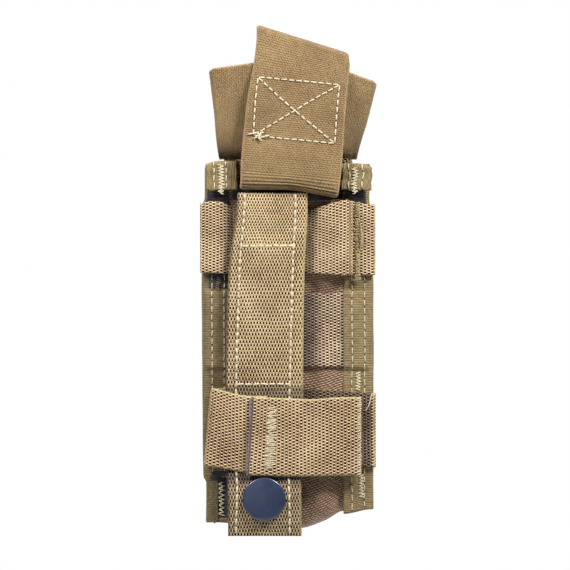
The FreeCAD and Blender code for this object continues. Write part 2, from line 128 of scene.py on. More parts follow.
class Path:
    """Straight runs joined by arcs in a plane, read by arc length."""

    def __init__(self, points, radii):
        self.runs, self.length = [], 0.0
        start = np.array(points[0], float)
        for i in range(1, len(points) - 1):
            p, q, r = (np.array(points[j], float) for j in (i - 1, i, i + 1))
            a = (q - p) / np.linalg.norm(q - p)
            b = (r - q) / np.linalg.norm(r - q)
            turn = math.atan2(a[0] * b[1] - a[1] * b[0], a @ b)
            cut = radii[i - 1] * math.tan(abs(turn) / 2)
            side = np.sign(turn)
            begin = q - a * cut
            centre = begin + np.array([-a[1], a[0]]) * radii[i - 1] * side
            self._line(start, begin)
            self._arc(begin, centre, radii[i - 1], turn)
            start = q + b * cut
        self._line(start, np.array(points[-1], float))

    def _line(self, a, b):
        length = np.linalg.norm(b - a)
        self._add(length, "line", a, (b - a) / length)

    def _arc(self, begin, centre, radius, turn):
        length = abs(turn) * radius
        self._add(length, "arc", centre, begin - centre, turn / length)

    def _add(self, length, *run):
        self.runs.append((self.length, length, *run))
        self.length += length

    def at(self, s):
        s = np.asarray(s, float)
        out = np.zeros(s.shape + (2,))
        for n, run in enumerate(self.runs):
            begin, length = run[:2]
            low = -np.inf if n == 0 else begin
            high = np.inf if n == len(self.runs) - 1 else begin + length
            here = (s >= low) & (s < high)
            d = s[here] - begin
            if run[2] == "line":
                out[here] = run[3] + run[4] * d[:, None]
            else:
                angle = run[5] * d
                c, w = np.cos(angle), np.sin(angle)
                x, y = run[4]
                out[here] = run[3] + np.stack([c * x - w * y, w * x + c * y], -1)
        return out


def web_weave(s, t):
    """Height of the webbing's weave, 0 to 1: floats in rows, each pair of rows half a repeat on."""
    along, across = 2 * math.pi * s / WEAVE_LONG, 2 * math.pi * t / WEAVE_ACROSS
    return 0.5 + 0.44 * np.cos(along) * np.cos(across) - 0.04 * np.cos(2 * along)


def loom(s, t):
    """The small drift of real webbing's yarns from a perfect grid."""
    return s + 0.14 * ripple(s, t, 6.0, 21.0), t + 0.10 * ripple(s, t, 6.0, 22.0)


def strap_loom(s, t):
    """The same, with the picks packed closer where the strap is drawn tight at its top."""
    return loom(s + curve(s, [(0, 0), (15, 4.0), (30, 6.0), (130, 6.0)]), t)


# ---- meshes
EDGE_ROUND = 0.6  # width over which a cloth's edge is rounded off
STITCH_FILL = 0.86  # share of its pitch that a stitch covers
THREAD_SIDES = 6
SEAM_THREAD, TACK_THREAD = 0.17, 0.2  # radii
HOLE_SIDES = 7


def make_object(name, verts, faces, material, uv=None):
    mesh = bpy.data.meshes.new(name)
    mesh.from_pydata((np.asarray(verts) * MM).tolist(), [], faces)
    mesh.validate()
    if uv is not None:
        layer = mesh.uv_layers.new(name="millimetres")
        loops = np.zeros(len(mesh.loops), int)
        mesh.loops.foreach_get("vertex_index", loops)
        layer.data.foreach_set("uv", np.asarray(uv, float)[loops].ravel())
    mesh.shade_smooth()
    obj = bpy.data.objects.new(name, mesh)
    bpy.context.collection.objects.link(obj)
    mesh.materials.append(material)
    return obj


class Sheet:
    """A band or panel of cloth. place(s, t) is its outer face, s along it and t across, in millimetres."""

    def __init__(self, place, flip=False):
        self.place = place
        self.sign = -1.0 if flip else 1.0

    def normal(self, s, t):
        d = 0.04
        along = self.place(s + d, t) - self.place(s - d, t)
        across = self.place(s, t + d) - self.place(s, t - d)
        n = np.cross(along, across)
        return self.sign * n / (np.linalg.norm(n, axis=-1, keepdims=True) + 1e-12)

    def at(self, s, t, lift=0.0):
        s, t, lift = np.broadcast_arrays(*(np.asarray(v, float) for v in (s, t, lift)))
        return self.place(s, t) + self.normal(s, t) * lift[..., None]

    def lifted(self, lift):
        return Sheet(lambda s, t: self.at(s, t, lift), flip=self.sign < 0)

    def build(self, name, s_range, t_range, step, thick, material, weave=None, relief=0.0, grain=None):
        ns = max(2, round((s_range[1] - s_range[0]) / step[0]) + 1)
        nt = max(2, round((t_range[1] - t_range[0]) / step[1]) + 1)
        s, t = np.meshgrid(np.linspace(*s_range, ns), np.linspace(*t_range, nt), indexing="ij")
        place, n = self.place(s, t), self.normal(s, t)
        near = np.minimum(t - t_range[0], t_range[1] - t)
        near = np.minimum(near, np.minimum(s - s_range[0], s_range[1] - s) * 1.6)
        inside = 1 - np.clip(near / EDGE_ROUND, 0, 1)
        half = thick / 2 * np.maximum(np.sqrt(1 - inside**2), 0.3)
        grain_s, grain_t = grain(s, t) if grain else (s, t)
        high, low = half.copy(), half.copy()
        if weave is not None:
            fade = relief * smooth(near, 0.0, 1.0)
            high += (weave(grain_s, grain_t) - 0.5) * fade
            low += (weave(grain_s + WEAVE_LONG / 4, grain_t) - 0.5) * fade
        middle = place - n * thick / 2
        outer, inner = middle + n * high[..., None], middle - n * low[..., None]
        verts = np.concatenate([outer.reshape(-1, 3), inner.reshape(-1, 3)])
        uv = np.concatenate([np.stack([grain_s, grain_t], -1).reshape(-1, 2)] * 2)
        faces = grid_faces(ns, nt, 0, self.sign < 0) + grid_faces(ns, nt, ns * nt, self.sign > 0)
        faces += rim_faces(ns, nt, self.sign < 0)
        return make_object(name, verts, faces, material, uv)


def sew(sheet, slot, nodes, name, *build, **weave):
    """Builds a cloth piece of the pouch and hides the CAD nodes that it stands for."""
    done(sheet.build(name, *build, **weave), "pouch", slot, *nodes)


def grid_faces(ns, nt, start, flip):
    i, j = np.meshgrid(np.arange(ns - 1), np.arange(nt - 1), indexing="ij")
    a = start + i * nt + j
    quads = np.stack([a, a + nt, a + nt + 1, a + 1], -1).reshape(-1, 4)
    return (quads[:, ::-1] if flip else quads).tolist()


def rim_faces(ns, nt, flip):
    """The strip of faces that joins the outer grid's border to the inner grid's."""
    loop = list(range(nt))
    loop += [i * nt + nt - 1 for i in range(1, ns)]
    loop += [(ns - 1) * nt + j for j in range(nt - 2, -1, -1)]
    loop += [i * nt for i in range(ns - 2, 0, -1)]
    other = ns * nt
    quads = []
    for a, b in zip(loop, loop[1:] + loop[:1]):
        quad = [a, b, b + other, a + other]
        quads.append(quad[::-1] if flip else quad)
    return quads


def seam(a, b):
    """The start, direction, crosswise direction and length of a straight line of stitching."""
    a, b = np.asarray(a, float), np.asarray(b, float)
    length = np.linalg.norm(b - a)
    run = (b - a) / length
    return a, run, np.array([-run[1], run[0]]), length


class Thread:
    """Many short lengths of thread gathered into one mesh."""

    def __init__(self, radius):
        self.radius = radius
        self.verts, self.faces, self.uv, self.count = [], [], [], 0
        self.holes = []

    def add(self, points, normal):
        """A tube along points, thinner at its ends. normal is roughly across it."""
        n = len(points)
        tangent = np.gradient(points, axis=0)
        tangent /= np.linalg.norm(tangent, axis=1, keepdims=True) + 1e-9
        side = np.cross(tangent, normal)
        side /= np.linalg.norm(side, axis=1, keepdims=True) + 1e-9
        up = np.cross(side, tangent)
        k = np.linspace(-1, 1, n)
        size = self.radius * (0.45 + 0.55 * np.sqrt(np.clip(1 - k**8, 0, 1)))
        length = np.concatenate([[0], np.cumsum(np.linalg.norm(np.diff(points, axis=0), axis=1))])
        for a in range(THREAD_SIDES):
            angle = 2 * math.pi * a / THREAD_SIDES
            ring = side * math.cos(angle) + up * math.sin(angle)
            self.verts.append(points + ring * size[:, None])
            self.uv.append(np.stack([length, np.full(n, a * self.radius)], -1))
        starts = [self.count + a * n for a in range(THREAD_SIDES)]
        for p, q in zip(starts, starts[1:] + starts[:1]):
            self.faces += [[p + i, q + i, q + i + 1, p + i + 1] for i in range(n - 1)]
        self.faces.append(starts)
        self.faces.append([p + n - 1 for p in reversed(starts)])
        self.count += THREAD_SIDES * n

    def stitch(self, sheet, a, b, height=0.34, sag=0.16, hole=True):
        """One stitch from (s, t) a to b, lying on the sheet and sinking in at both ends."""
        k = np.linspace(0, 1, 7)
        s, t = a[0] + (b[0] - a[0]) * k, a[1] + (b[1] - a[1]) * k
        lift = height * np.sin(math.pi * k) ** 0.5 - sag
        self.add(sheet.at(s, t, lift), sheet.normal(s, t))
        if hole:
            out = (b - a) / (np.linalg.norm(b - a) + 1e-9)
            for end in (a - out * 0.1, b + out * 0.1):
                self.holes.append((sheet.at(end[0], end[1], 0.06), sheet.normal(end[0], end[1])))

    def line(self, sheet, points, pitch, wander=0.12):
        """A row of lock stitch along a run of (s, t) points."""
        points = np.asarray(points, float)
        steps = np.linalg.norm(np.diff(points, axis=0), axis=1)
        along = np.concatenate([[0], np.cumsum(steps)])
        count = max(1, round(along[-1] / pitch))
        at = np.linspace(0, along[-1], count + 1)
        where = np.stack([np.interp(at, along, points[:, c]) for c in (0, 1)], -1)
        where[1:-1] += RNG.normal(0, wander * 0.5, where[1:-1].shape)
        for a, b in zip(where, where[1:]):
            lean = RNG.normal(0, wander, 2) * 0.6
            middle, half = (a + b) / 2, (b - a) * STITCH_FILL / 2
            self.stitch(sheet, middle - half + lean, middle + half - lean)

    def bartack(self, sheet, a, b, half_width, pitch, rough=0.16):
        """A bar of close zigzag from (s, t) a to b."""
        a, run, cross, length = seam(a, b)
        for i in range(int(length / pitch)):
            here = a + run * (i + 0.5) * pitch
            left = here + cross * (half_width + RNG.normal(0, rough)) + run * RNG.normal(0, rough / 2)
            right = here - cross * (half_width + RNG.normal(0, rough))
            right += run * (pitch * 0.9 + RNG.normal(0, rough / 2))
            self.stitch(sheet, left, right, height=0.42 + RNG.uniform(0, 0.12), sag=0.2, hole=False)

    def zigzag(self, sheet, a, b, half_width, pitch=1.05, rough=0.06):
        """One thread run back and forth across the line from (s, t) a to b."""
        a, run, cross, length = seam(a, b)
        turns = []
        for i in range(int(length / pitch * 2)):
            turns.append(a + run * i * pitch / 2 + cross * half_width * (-1) ** i + RNG.normal(0, rough, 2))
        for here, there in zip(turns, turns[1:]):
            self.stitch(sheet, here, there, height=0.4, sag=0.12, hole=False)

    def build(self, name, material):
        return make_object(name, np.concatenate(self.verts), self.faces, material, np.concatenate(self.uv))

    def sew(self, name, *nodes, material=None):
        """Builds the thread as a piece of the pouch."""
        done(self.build(name, material or THREAD), "pouch", "thread", *nodes)

    def pierce(self, name):
        """Builds the needle holes as a piece of the pouch."""
        done(self.build_holes(name), "pouch", "thread")

    def build_holes(self, name, radius=0.24):
        """The needle holes at the ends of the stitches: shallow discs on the cloth, coloured dark as painted
        shade for the holes.
        """
        verts, faces = [], []
        for centre, normal in self.holes:
            side = np.cross(normal, [0.3, 0.2, 0.9])
            side /= np.linalg.norm(side)
            up = np.cross(normal, side)
            base = len(verts)
            verts.append(centre + normal * 0.03)
            for a in np.linspace(0, 2 * math.pi, HOLE_SIDES, endpoint=False):
                verts.append(centre + radius * (side * math.cos(a) + up * math.sin(a)) - normal * 0.05)
            faces += [[base, base + 1 + i, base + 1 + (i + 1) % HOLE_SIDES] for i in range(HOLE_SIDES)]
        verts = np.array(verts)
        return make_object(name, verts, faces, HOLE, verts[:, [2, 0]])


# ---- materials
class Nodes:
    """Short names for the few node kinds that the materials use."""

    def __init__(self, name):
        self.material = bpy.data.materials.new(name)
        self.material.use_nodes = True
        self.tree = self.material.node_tree
        self.shader = self.tree.nodes["Principled BSDF"]
        uv = self.node("UVMap")
        uv.uv_map = "millimetres"
        self.uv = uv.outputs[0]
        self.s, self.t = self.node("SeparateXYZ", {0: self.uv}).outputs[:2]

    def node(self, kind, values=None):
        node = self.tree.nodes.new("ShaderNode" + kind)
        self.put(node, values or {})
        return node

    def put(self, node, values):
        """Links or sets each of a node's inputs."""
        for key, value in values.items():
            if isinstance(value, bpy.types.NodeSocket):
                self.tree.links.new(value, node.inputs[key])
            else:
                node.inputs[key].default_value = value

    def math(self, kind, a, b=0.0, clamp=False):
        node = self.node("Math", {0: a, 1: b})
        node.operation, node.use_clamp = kind, clamp
        return node.outputs[0]

    def add(self, *values):
        total = values[0]
        for value in values[1:]:
            total = self.math("ADD", total, value)
        return total

    def times(self, a, b):
        return self.math("MULTIPLY", a, b)

    def swing(self, value, amount):
        """A value from 0 to 1 turned into a swing about zero."""
        return self.times(self.math("SUBTRACT", value, 0.5), amount)

    def wave(self, value, pitch):
        """cos(2 pi value / pitch)"""
        return self.math("COSINE", self.times(value, 2 * math.pi / pitch))

    def noise(self, scale, detail=3.0, stretch=(1, 1, 1), rough=0.55, place=None):
        mapping = self.node("Mapping", {0: place or self.uv, "Scale": stretch})
        values = {"Vector": mapping.outputs[0], "Scale": scale, "Detail": detail, "Roughness": rough}
        return self.node("TexNoise", values).outputs[0]

    def ramp(self, value, stops):
        node = self.node("ValToRGB", {0: value})
        ramp = node.color_ramp
        while len(ramp.elements) < len(stops):
            ramp.elements.new(0.5)
        for element, (where, colour) in zip(ramp.elements, stops):
            element.position = where
            element.color = (*colour, 1)
        return node.outputs[0]

    def mix(self, factor, under, colour):
        """Lays a plain colour over what is under it."""
        node = self.node("Mix")
        node.data_type = "RGBA"
        self.put(node, {0: factor, 6: under, 7: (*colour, 1)})
        return node.outputs[2]

    def bump(self, height, distance, strength=1.0):
        node = self.node("Bump", {"Strength": strength, "Distance": distance, "Height": height})
        self.tree.links.new(node.outputs[0], self.shader.inputs["Normal"])

    def finish(self, colour, roughness, sheen=0.0, metallic=0.0, coat=0.0, specular=0.3):
        values = {"Base Color": colour, "Roughness": roughness, "Metallic": metallic}
        values |= {"Specular IOR Level": specular, "Sheen Weight": sheen, "Sheen Roughness": 0.5}
        values |= {"Coat Weight": coat, "Coat Roughness": 0.12}
        self.put(self.shader, values)
        return self.material


FLOAT_DEPTH = 0.36
EDGE_YARN, ELASTIC_EDGE = 0.6, 0.55  # widths of the webbing's and the elastic's selvedge
SHADE_SPAN = 130.0  # length of webbing that the ramp of the navy shade tint covers


def srgb(r, g, b):
    """A colour on the 0 to 255 scale, as linear light."""
    return tuple(((c / 255 + 0.055) / 1.055) ** 2.4 for c in (r, g, b))


def webbing_material(name, pit, dark, body, crown, shade_by_length=(), edges=()):
    """Nylon webbing: pale floats two picks long, dark pits at their ends and fine filaments along the yarns.
    The pits' darkness is partly the weave's own gaps and partly painted shade; the crown colour is a painted
    highlight on the float tops.
    shade_by_length gives how much of the navy shade tint lies on it along its length; edges the colours of
    its left and right selvedge."""
    n = Nodes(name)
    pair = n.times(n.wave(n.s, WEAVE_LONG), FLOAT_DEPTH)
    pick = n.times(n.wave(n.s, WEAVE_LONG / 3), FLOAT_DEPTH * 0.45)
    floats = n.times(n.add(pair, pick), n.wave(n.t, WEAVE_ACROSS))
    rows = n.times(n.wave(n.s, WEAVE_LONG / 2), -0.11)
    height = n.math("ADD", n.add(floats, rows), 0.5, clamp=True)
    uneven = n.swing(n.noise(0.9, 3.0, (1.0, 2.0, 1), 0.65), 0.3)
    broad = n.swing(n.noise(0.07, 3.0), 0.24)
    # painted shade and highlight: the low stops darken the pits, partly the weave's own gaps and partly
    # painted shade; the crown stop is a painted highlight on the float tops
    colour = n.ramp(n.add(height, uneven, broad), [(0.32, pit), (0.44, dark), (0.53, body), (0.74, crown)])
    for side, edge in zip((-1, 1), edges):
        outside = n.math("GREATER_THAN", n.times(n.t, side), WEB_HALF - EDGE_YARN)
        colour = n.mix(n.times(outside, 0.6), colour, edge)
    # painted shade: the navy shade tint is mixed in by distance along the webbing
    if shade_by_length:
        along = n.times(n.s, 1 / SHADE_SPAN)
        share = n.ramp(along, [(s / SHADE_SPAN, (much, much, much)) for s, much in shade_by_length])
        colour = n.mix(share, colour, SHADE_TINT)
    filament = n.noise(3.0, 2.0, (0.5, 6.0, 1))
    n.bump(n.add(n.times(filament, 0.2), height), 0.00030)
    return n.finish(colour, roughness=0.6, specular=0.12)


def elastic_material(name, low, high):
    """Knitted elastic: a mottled, grainy face over fine ribs and cords."""
    n = Nodes(name)
    slant = n.wave(n.add(n.times(n.s, 0.9), n.t), 1.12)
    ribs = n.wave(n.s, 0.73)
    grain = n.noise(2.2, 4.0, (1.15, 0.9, 1), 0.8)
    patch = n.swing(n.noise(0.35, 3.0), 0.16)
    broad = n.swing(n.noise(0.05, 2.0), 0.25)
    selvedge = n.math("GREATER_THAN", n.math("ABSOLUTE", n.t), HOOD_HALF - ELASTIC_EDGE)
    level = n.add(n.times(ribs, 0.05), n.times(slant, 0.045), grain, patch, broad, n.times(selvedge, 0.14))
    n.bump(n.add(n.times(ribs, 0.12), grain), 0.00045)
    return n.finish(n.ramp(level, [(0.32, low), (0.66, high)]), roughness=0.8, sheen=0.25)


def cloth_material(name, low, high):
    """Coated nylon pack cloth: a plain weave with its picks closer together than its ends."""
    n = Nodes(name)
    pick, end = 0.84, 1.36
    checks = n.times(n.wave(n.s, 2 * pick), n.wave(n.t, end))
    rows = n.times(n.wave(n.s, pick), 0.25)
    height = n.add(n.times(checks, 0.22), rows, 0.5)
    uneven = n.noise(0.9, 3.0, (1.0, 1.6, 1))
    broad = n.swing(n.noise(0.06, 4.0), 0.4)
    level = n.add(n.times(height, 0.7), n.times(uneven, 0.35), broad)
    n.bump(n.add(height, n.times(uneven, 0.4)), 0.0004)
    return n.finish(n.ramp(level, [(0.30, low), (0.80, high)]), roughness=0.6, sheen=0.1)


def tape_material(name, low, high, edge):
    """Binding tape: fine crosswise ribs and a greener edge."""
    n = Nodes(name)
    ribs = n.wave(n.s, 0.58)
    uneven = n.noise(0.8, 4.0, (1.6, 0.7, 1), 0.65)
    broad = n.noise(0.09, 3.0)
    level = n.add(n.times(ribs, 0.08), n.add(uneven, n.times(broad, 0.6)))
    colour = n.ramp(level, [(0.50, low), (1.0, high)])
    selvedge = n.times(n.math("LESS_THAN", n.t, 0.5), 0.15)
    at_edge = n.add(n.times(n.noise(0.35, 2.0, (0.2, 2.0, 1)), 0.25), selvedge)
    n.bump(n.add(n.times(ribs, 0.6), n.times(uneven, 0.8)), 0.00014)
    return n.finish(n.mix(at_edge, colour, edge), roughness=0.62, sheen=0.15)


def thread_material(name, low, high):
    """Bonded thread: a slow twist along its length."""
    n = Nodes(name)
    twist = n.wave(n.add(n.s, n.times(n.t, 1.6)), 0.55)
    level = n.add(n.times(twist, 0.12), n.noise(1.2, 2.0))
    n.bump(twist, 0.00005, 0.8)
    return n.finish(n.ramp(level, [(0.25, low), (0.75, high)]), roughness=0.5, sheen=0.1, specular=0.4)


def metal_material(name, colour, roughness, metallic=1.0, coat=0.0):
    """Snap metal or hard plastic, with handling marks that break up its gloss."""
    n = Nodes(name)
    place = n.node("TexCoord").outputs["Object"]
    marks = n.noise(900.0, 4.0, place=place)
    cloud = n.noise(160.0, 3.0, place=place)
    light, dark = (tuple(c * k for c in colour) for k in (1.15, 0.8))
    rough = n.add(n.times(marks, 0.16), roughness - 0.08)
    n.bump(marks, 0.00001, 0.4)
    tint = n.ramp(cloud, [(0.3, dark), (0.7, light)])
    return n.finish(tint, roughness=rough, metallic=metallic, coat=coat, specular=0.5)


# Webbing palettes run pit, dark, body, crown: the near-black pit is the weave's gaps deepened with painted
# shade, the crown a painted highlight.
DARK_PIT = srgb(14, 8, 8)
# painted shade: the navy colour of shadows, mixed into webbing where shade falls
SHADE_TINT = srgb(34, 36, 54)
# painted shade on the upper row: from beside the strap's left edge, under the strap, to just past its right
# edge, and in the dip beyond the crest at the right end
ROW_SHADE = [(6, 0.0), (9, 0.30), (34, 0.42), (38, 0.34), (42, 0.0), (52.5, 0.0), (53.6, 0.5), (55.2, 0.0)]
ROW_YARN = DARK_PIT, srgb(46, 30, 24), srgb(158, 124, 94), srgb(255, 232, 192)
ROW_WEB = webbing_material("row_webbing", *ROW_YARN, ROW_SHADE)
# painted shade on the middle row: from its left end, under the strap to just past the strap's right edge, and
# a dark line at its right end beside the tape; its palette is a darker, shaded copy of the row webbing's
MIDDLE_SHADE = [(0, 0.45), (34, 0.45), (41, 0.0), (44.6, 0.0), (45.6, 0.5)]
SHADED_MIDDLE_YARN = DARK_PIT, srgb(26, 18, 18), srgb(116, 92, 72), srgb(255, 230, 196)
SHADED_MIDDLE_WEB = webbing_material("middle_webbing", *SHADED_MIDDLE_YARN, MIDDLE_SHADE)
# painted shade along the strap from its top: the shadow where it passes under the keeper band and the deep
# shade under the band above the snap; the middle run and the tail are also tinted a little darker and bluer
STRAP_SHADE_AND_TINT = [
    (8, 0.0), (30, 0.06), (71.5, 0.08), (73.2, 0.5), (77, 0.6), (80, 0.1),
    (96, 0.10), (100, 0.72), (104, 0.76), (107.5, 0.26), (122, 0.28),
]
STRAP_YARN = DARK_PIT, srgb(48, 32, 22), srgb(160, 128, 92), srgb(255, 234, 190)
STRAP_EDGES = srgb(84, 74, 48), srgb(186, 172, 122)
STRAP_WEB = webbing_material("strap_webbing", *STRAP_YARN, STRAP_SHADE_AND_TINT, STRAP_EDGES)
BAND_YARN = DARK_PIT, srgb(46, 30, 24), srgb(150, 118, 88), srgb(255, 228, 186)
BAND_EDGES = srgb(140, 124, 88), srgb(198, 188, 142)
BAND_WEB = webbing_material("band_webbing", *BAND_YARN, edges=BAND_EDGES)
# painted shade: a dark copy of the band webbing for the keeper loop's base run, where the flap shades it
SHADED_BASE_WEB = webbing_material("shaded_base_webbing", DARK_PIT, srgb(20, 16, 18), srgb(70, 58, 52), srgb(168, 146, 124))
ELASTIC_FACE = elastic_material("elastic", srgb(88, 62, 32), srgb(178, 150, 106))
PACK_CLOTH = cloth_material("pack_cloth", srgb(46, 34, 32), srgb(212, 174, 142))
# painted shade: the left tape is a darker copy of the tape face, for the shade on the pouch's left side
SHADED_LEFT_TAPE = tape_material("shaded_binding_tape_left", srgb(80, 64, 44), srgb(144, 124, 90), srgb(142, 136, 80))
TAPE_FACE = tape_material("binding_tape", srgb(92, 74, 50), srgb(164, 142, 104), srgb(158, 152, 88))
# painted shade: the face of the dark sheets laid where shade falls
SHADE_TAPE = tape_material("painted_shade_tape", srgb(20, 22, 38), srgb(74, 70, 80), srgb(84, 82, 60))
THREAD = thread_material("thread", srgb(206, 188, 152), srgb(252, 242, 216))
# painted shade: a darker copy of the thread, for the bartack that lies in the shade under the upper row
SHADED_THREAD = thread_material("shaded_thread", srgb(96, 84, 62), srgb(176, 160, 124))
# painted shade: dark discs stand for the shade inside the needle holes
HOLE = cloth_material("needle_hole", srgb(46, 32, 22), srgb(84, 60, 40))
CUT_END = cloth_material("heat_cut_webbing", srgb(70, 58, 66), srgb(150, 132, 136))
OLIVE_THREAD = thread_material("olive_thread", srgb(142, 126, 84), srgb(226, 208, 162))
SNAP_FACE = metal_material("snap_oxide", srgb(64, 74, 102), 0.34, metallic=0.35, coat=0.6)
SNAP_BRASS = metal_material("snap_brass", srgb(84, 70, 50), 0.42)
SPRING_STEEL = metal_material("spring_steel", srgb(180, 180, 180), 0.3)
STIFF_PLASTIC = metal_material("stiffener_plastic", srgb(38, 38, 40), 0.6, metallic=0.0)


def done(piece, body, slot, *nodes):
    """Puts a finished piece on its body, unless it is given none, and hides the CAD nodes that it stands for;
    slot is not used.
    """
    if body is not None:
        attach(piece, body)
    if nodes:
        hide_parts(*nodes)


# ---- cloth body
FLOOR_ROUND = 6.0
ROLL = FLOOR_ROUND * math.pi / 2  # length of cloth that rolls under the floor
PANEL_LENGTH = ROLL + RIM_Z + 74.0
PANEL_HALF = 29.2
SEAM_X = 20.5
LOWER_EDGE = [
    (-29.3, -81.2), (-20, -81.5), (-14, -83.5), (4, -83.6),
    (12.5, -81.0), (19, -77.6), (29.3, -76.6),
]


def body_low(x):
    """The body's lower outline across its width."""
    return curve(x, LOWER_EDGE)


def side_inset(side, z):
    """How far one side edge stands in from the body's full width at a height."""
    return curve(z, SIDE_INSET[side])


def panel_place(s, t):
    """Back panel. s runs up from the lower edge, t is across. Its lower end rolls under towards the floor."""
    low = body_low(t)
    flat = s - ROLL
    angle = np.clip(-flat / FLOOR_ROUND, 0, math.pi / 2)
    wall = RIM_Z - 1.2 - low - FLOOR_ROUND
    rise = low + FLOOR_ROUND + flat * wall / (PANEL_LENGTH - ROLL)
    z = np.where(flat > 0, rise, low + FLOOR_ROUND * (1 - np.sin(angle)))
    roll = 1 - smooth(np.abs(t), SEAM_X - 3.0, SEAM_X - 0.3)
    y = PANEL_Y + FLOOR_ROUND * (1 - np.cos(angle)) * roll
    swell = 1.7 * bump(t, 11.5, 5.5) * bump(z, -71.5, 6.0)
    dip = 1.7 * bump(t, 18.2, 1.7) * bump(z, -70, 9.0)
    y = y - (swell - dip) - 0.5 * bump(t, 13.0, 5.0) * bump(z, 0.0, 60.0) + 0.3 * ripple(t, z, 9.0, 2.0)
    inset = np.where(t < 0, -side_inset(-1, z), side_inset(1, z)) * smooth(np.abs(t), 22, 29)
    return np.stack([t - inset, y, z], -1)


def back_panel():
    sheet = Sheet(panel_place, flip=True)
    size = (0, PANEL_LENGTH), (-PANEL_HALF, PANEL_HALF), (0.8, 0.7)
    sew(sheet, "pack_cloth", ["back_panel"], "back_panel_cloth", *size, CLOTH, PACK_CLOTH)
    raised = sheet.lifted(0.12)
    # painted shade: dark sheets on the panel at the lower left corner beside the tape and under the rim
    # behind the hood's curl
    for name, s_range, t_range in (
        ("corner", (5.0, 19.0), (-24.5, -20.0)),
        ("rim", (PANEL_LENGTH - 12.2, PANEL_LENGTH - 5.0), (-19.0, 18.8)),
    ):
        painted_shade_patch(raised, name, s_range, t_range, (0.6, 0.6), grain=lambda s, t: (s, t + HALF_W))
    tack = Thread(TACK_THREAD)
    tack.zigzag(raised, (5.6, -22.9), (18.8, -22.9), 1.25, pitch=1.5, rough=0.16)
    tack.sew("keeper_bartack_left")


def painted_shade_patch(sheet, name, s_range, t_range, step, grain=None):
    """Painted shade: a thin dark sheet laid where shade falls."""
    size = s_range, t_range, step
    sew(sheet, "binding_tape", [], "shade_sheet_" + name, *size, 0.3, SHADE_TAPE, grain=grain)


SHELL_PATH = Path([(-SEAM_X, 6.05), (-24.2, 33.0), (24.2, 33.0), (SEAM_X, 6.05)], [13.0, 13.0])
FLOOR_PATH = Path([(SEAM_X, 6.6), (-SEAM_X, 6.6)], [])
SHELL_CENTRE = np.array([0.0, 17.0])
SHELL_ROUND = 7.0
SHELL_TURN = SHELL_ROUND * math.pi / 2
FLOOR_SPAN = 12.0
SHELL_WALL = RIM_Z - SHELL_LOW_Z - SHELL_ROUND - 0.5
SHELL_TOP = FLOOR_SPAN + SHELL_TURN + SHELL_WALL


def shell_place(s, t, path=SHELL_PATH):
    """Front of the pouch. t goes round its outline, s from the middle of the floor up the wall."""
    outline = path.at(t)
    sag = 1.0 - 0.018 * (1 + np.cos((s - 20) / 23.0))
    outline = SHELL_CENTRE + (outline - SHELL_CENTRE) * sag[..., None]
    k = np.clip(s / FLOOR_SPAN, 0, 1)
    turn = np.clip((s - FLOOR_SPAN) / SHELL_TURN, 0, 1) * math.pi / 2
    rise = np.maximum(s - FLOOR_SPAN - SHELL_TURN, 0)
    reach = np.linalg.norm(outline - SHELL_CENTRE, axis=-1)
    inner = np.maximum(reach - SHELL_ROUND, 0) / reach
    grow = np.where(s < FLOOR_SPAN, inner * k, inner + (1 - inner) * np.sin(turn))
    flat = SHELL_CENTRE + (outline - SHELL_CENTRE) * grow[..., None]
    lift = (body_low(flat[..., 0]) - SHELL_LOW_Z + 0.4) * (1 - smooth(rise, 0, 40))
    z = SHELL_LOW_Z + 0.5 + SHELL_ROUND * (1 - np.cos(turn)) + rise - 0.8 * np.cos(k * math.pi / 2) + lift
    fold = 0.55 * ripple(t, z * 0.35, 7.0, 5.0) * smooth(rise, 0, 12) * smooth(SHELL_WALL - rise, 0, 14)
    outward = (outline - SHELL_CENTRE) / reach[..., None]
    edge = smooth(t, 0, 6) * smooth(path.length - t, 0, 6)
    flat = flat + outward * (fold * edge)[..., None]
    return np.concatenate([flat, z[..., None]], -1)


def front_shell():
    sheet = Sheet(shell_place)
    size = (0.4, SHELL_TOP), (0, SHELL_PATH.length), (0.9, 0.9)
    sew(sheet, "pack_cloth", ["front_shell"], "front_cloth", *size, CLOTH, PACK_CLOTH)
    closing = Sheet(lambda s, t: shell_place(s, t, FLOOR_PATH))
    size = (0.4, FLOOR_SPAN + 18.0), (0, FLOOR_PATH.length), (0.9, 0.9)
    sew(closing, "pack_cloth", [], "floor_cloth", *size, CLOTH, PACK_CLOTH)
    mouth_tape(sheet)
    threads = Thread(SEAM_THREAD)
    for inset in (2.2, 7.6):
        s = SHELL_TOP - inset
        threads.line(sheet.lifted(TAPE + 0.1), [(s, 2.0), (s, SHELL_PATH.length - 2.0)], 2.9)
    threads.sew("mouth_stitching")


def mouth_tape(shell):
    """Tape folded over the mouth's edge: up the outside, over and down the inside."""
    reach, gap = 9.6, 0.05
    over = math.pi * (CLOTH / 2 + gap)
    out = CLOTH / 2 + gap + TAPE

    def place(s, t):
        up = np.clip(s, 0, reach)
        turn = np.clip((s - reach) / over, 0, 1) * math.pi
        back = np.maximum(s - reach - over, 0)
        height = SHELL_TOP - reach + up - back + out * np.sin(turn)
        depth = -CLOTH / 2 + out * np.cos(turn)
        wall = shell.at(np.minimum(height, SHELL_TOP + 2), t)
        return wall + shell.normal(np.minimum(height, SHELL_TOP - 0.2), t) * depth[..., None]

    size = (0, 2 * reach + over), (1.0, SHELL_PATH.length - 1.0), (0.45, 0.8)
    sew(Sheet(place), "binding_tape", ["mouth_binding"], "mouth_binding_tape", *size, TAPE, TAPE_FACE)


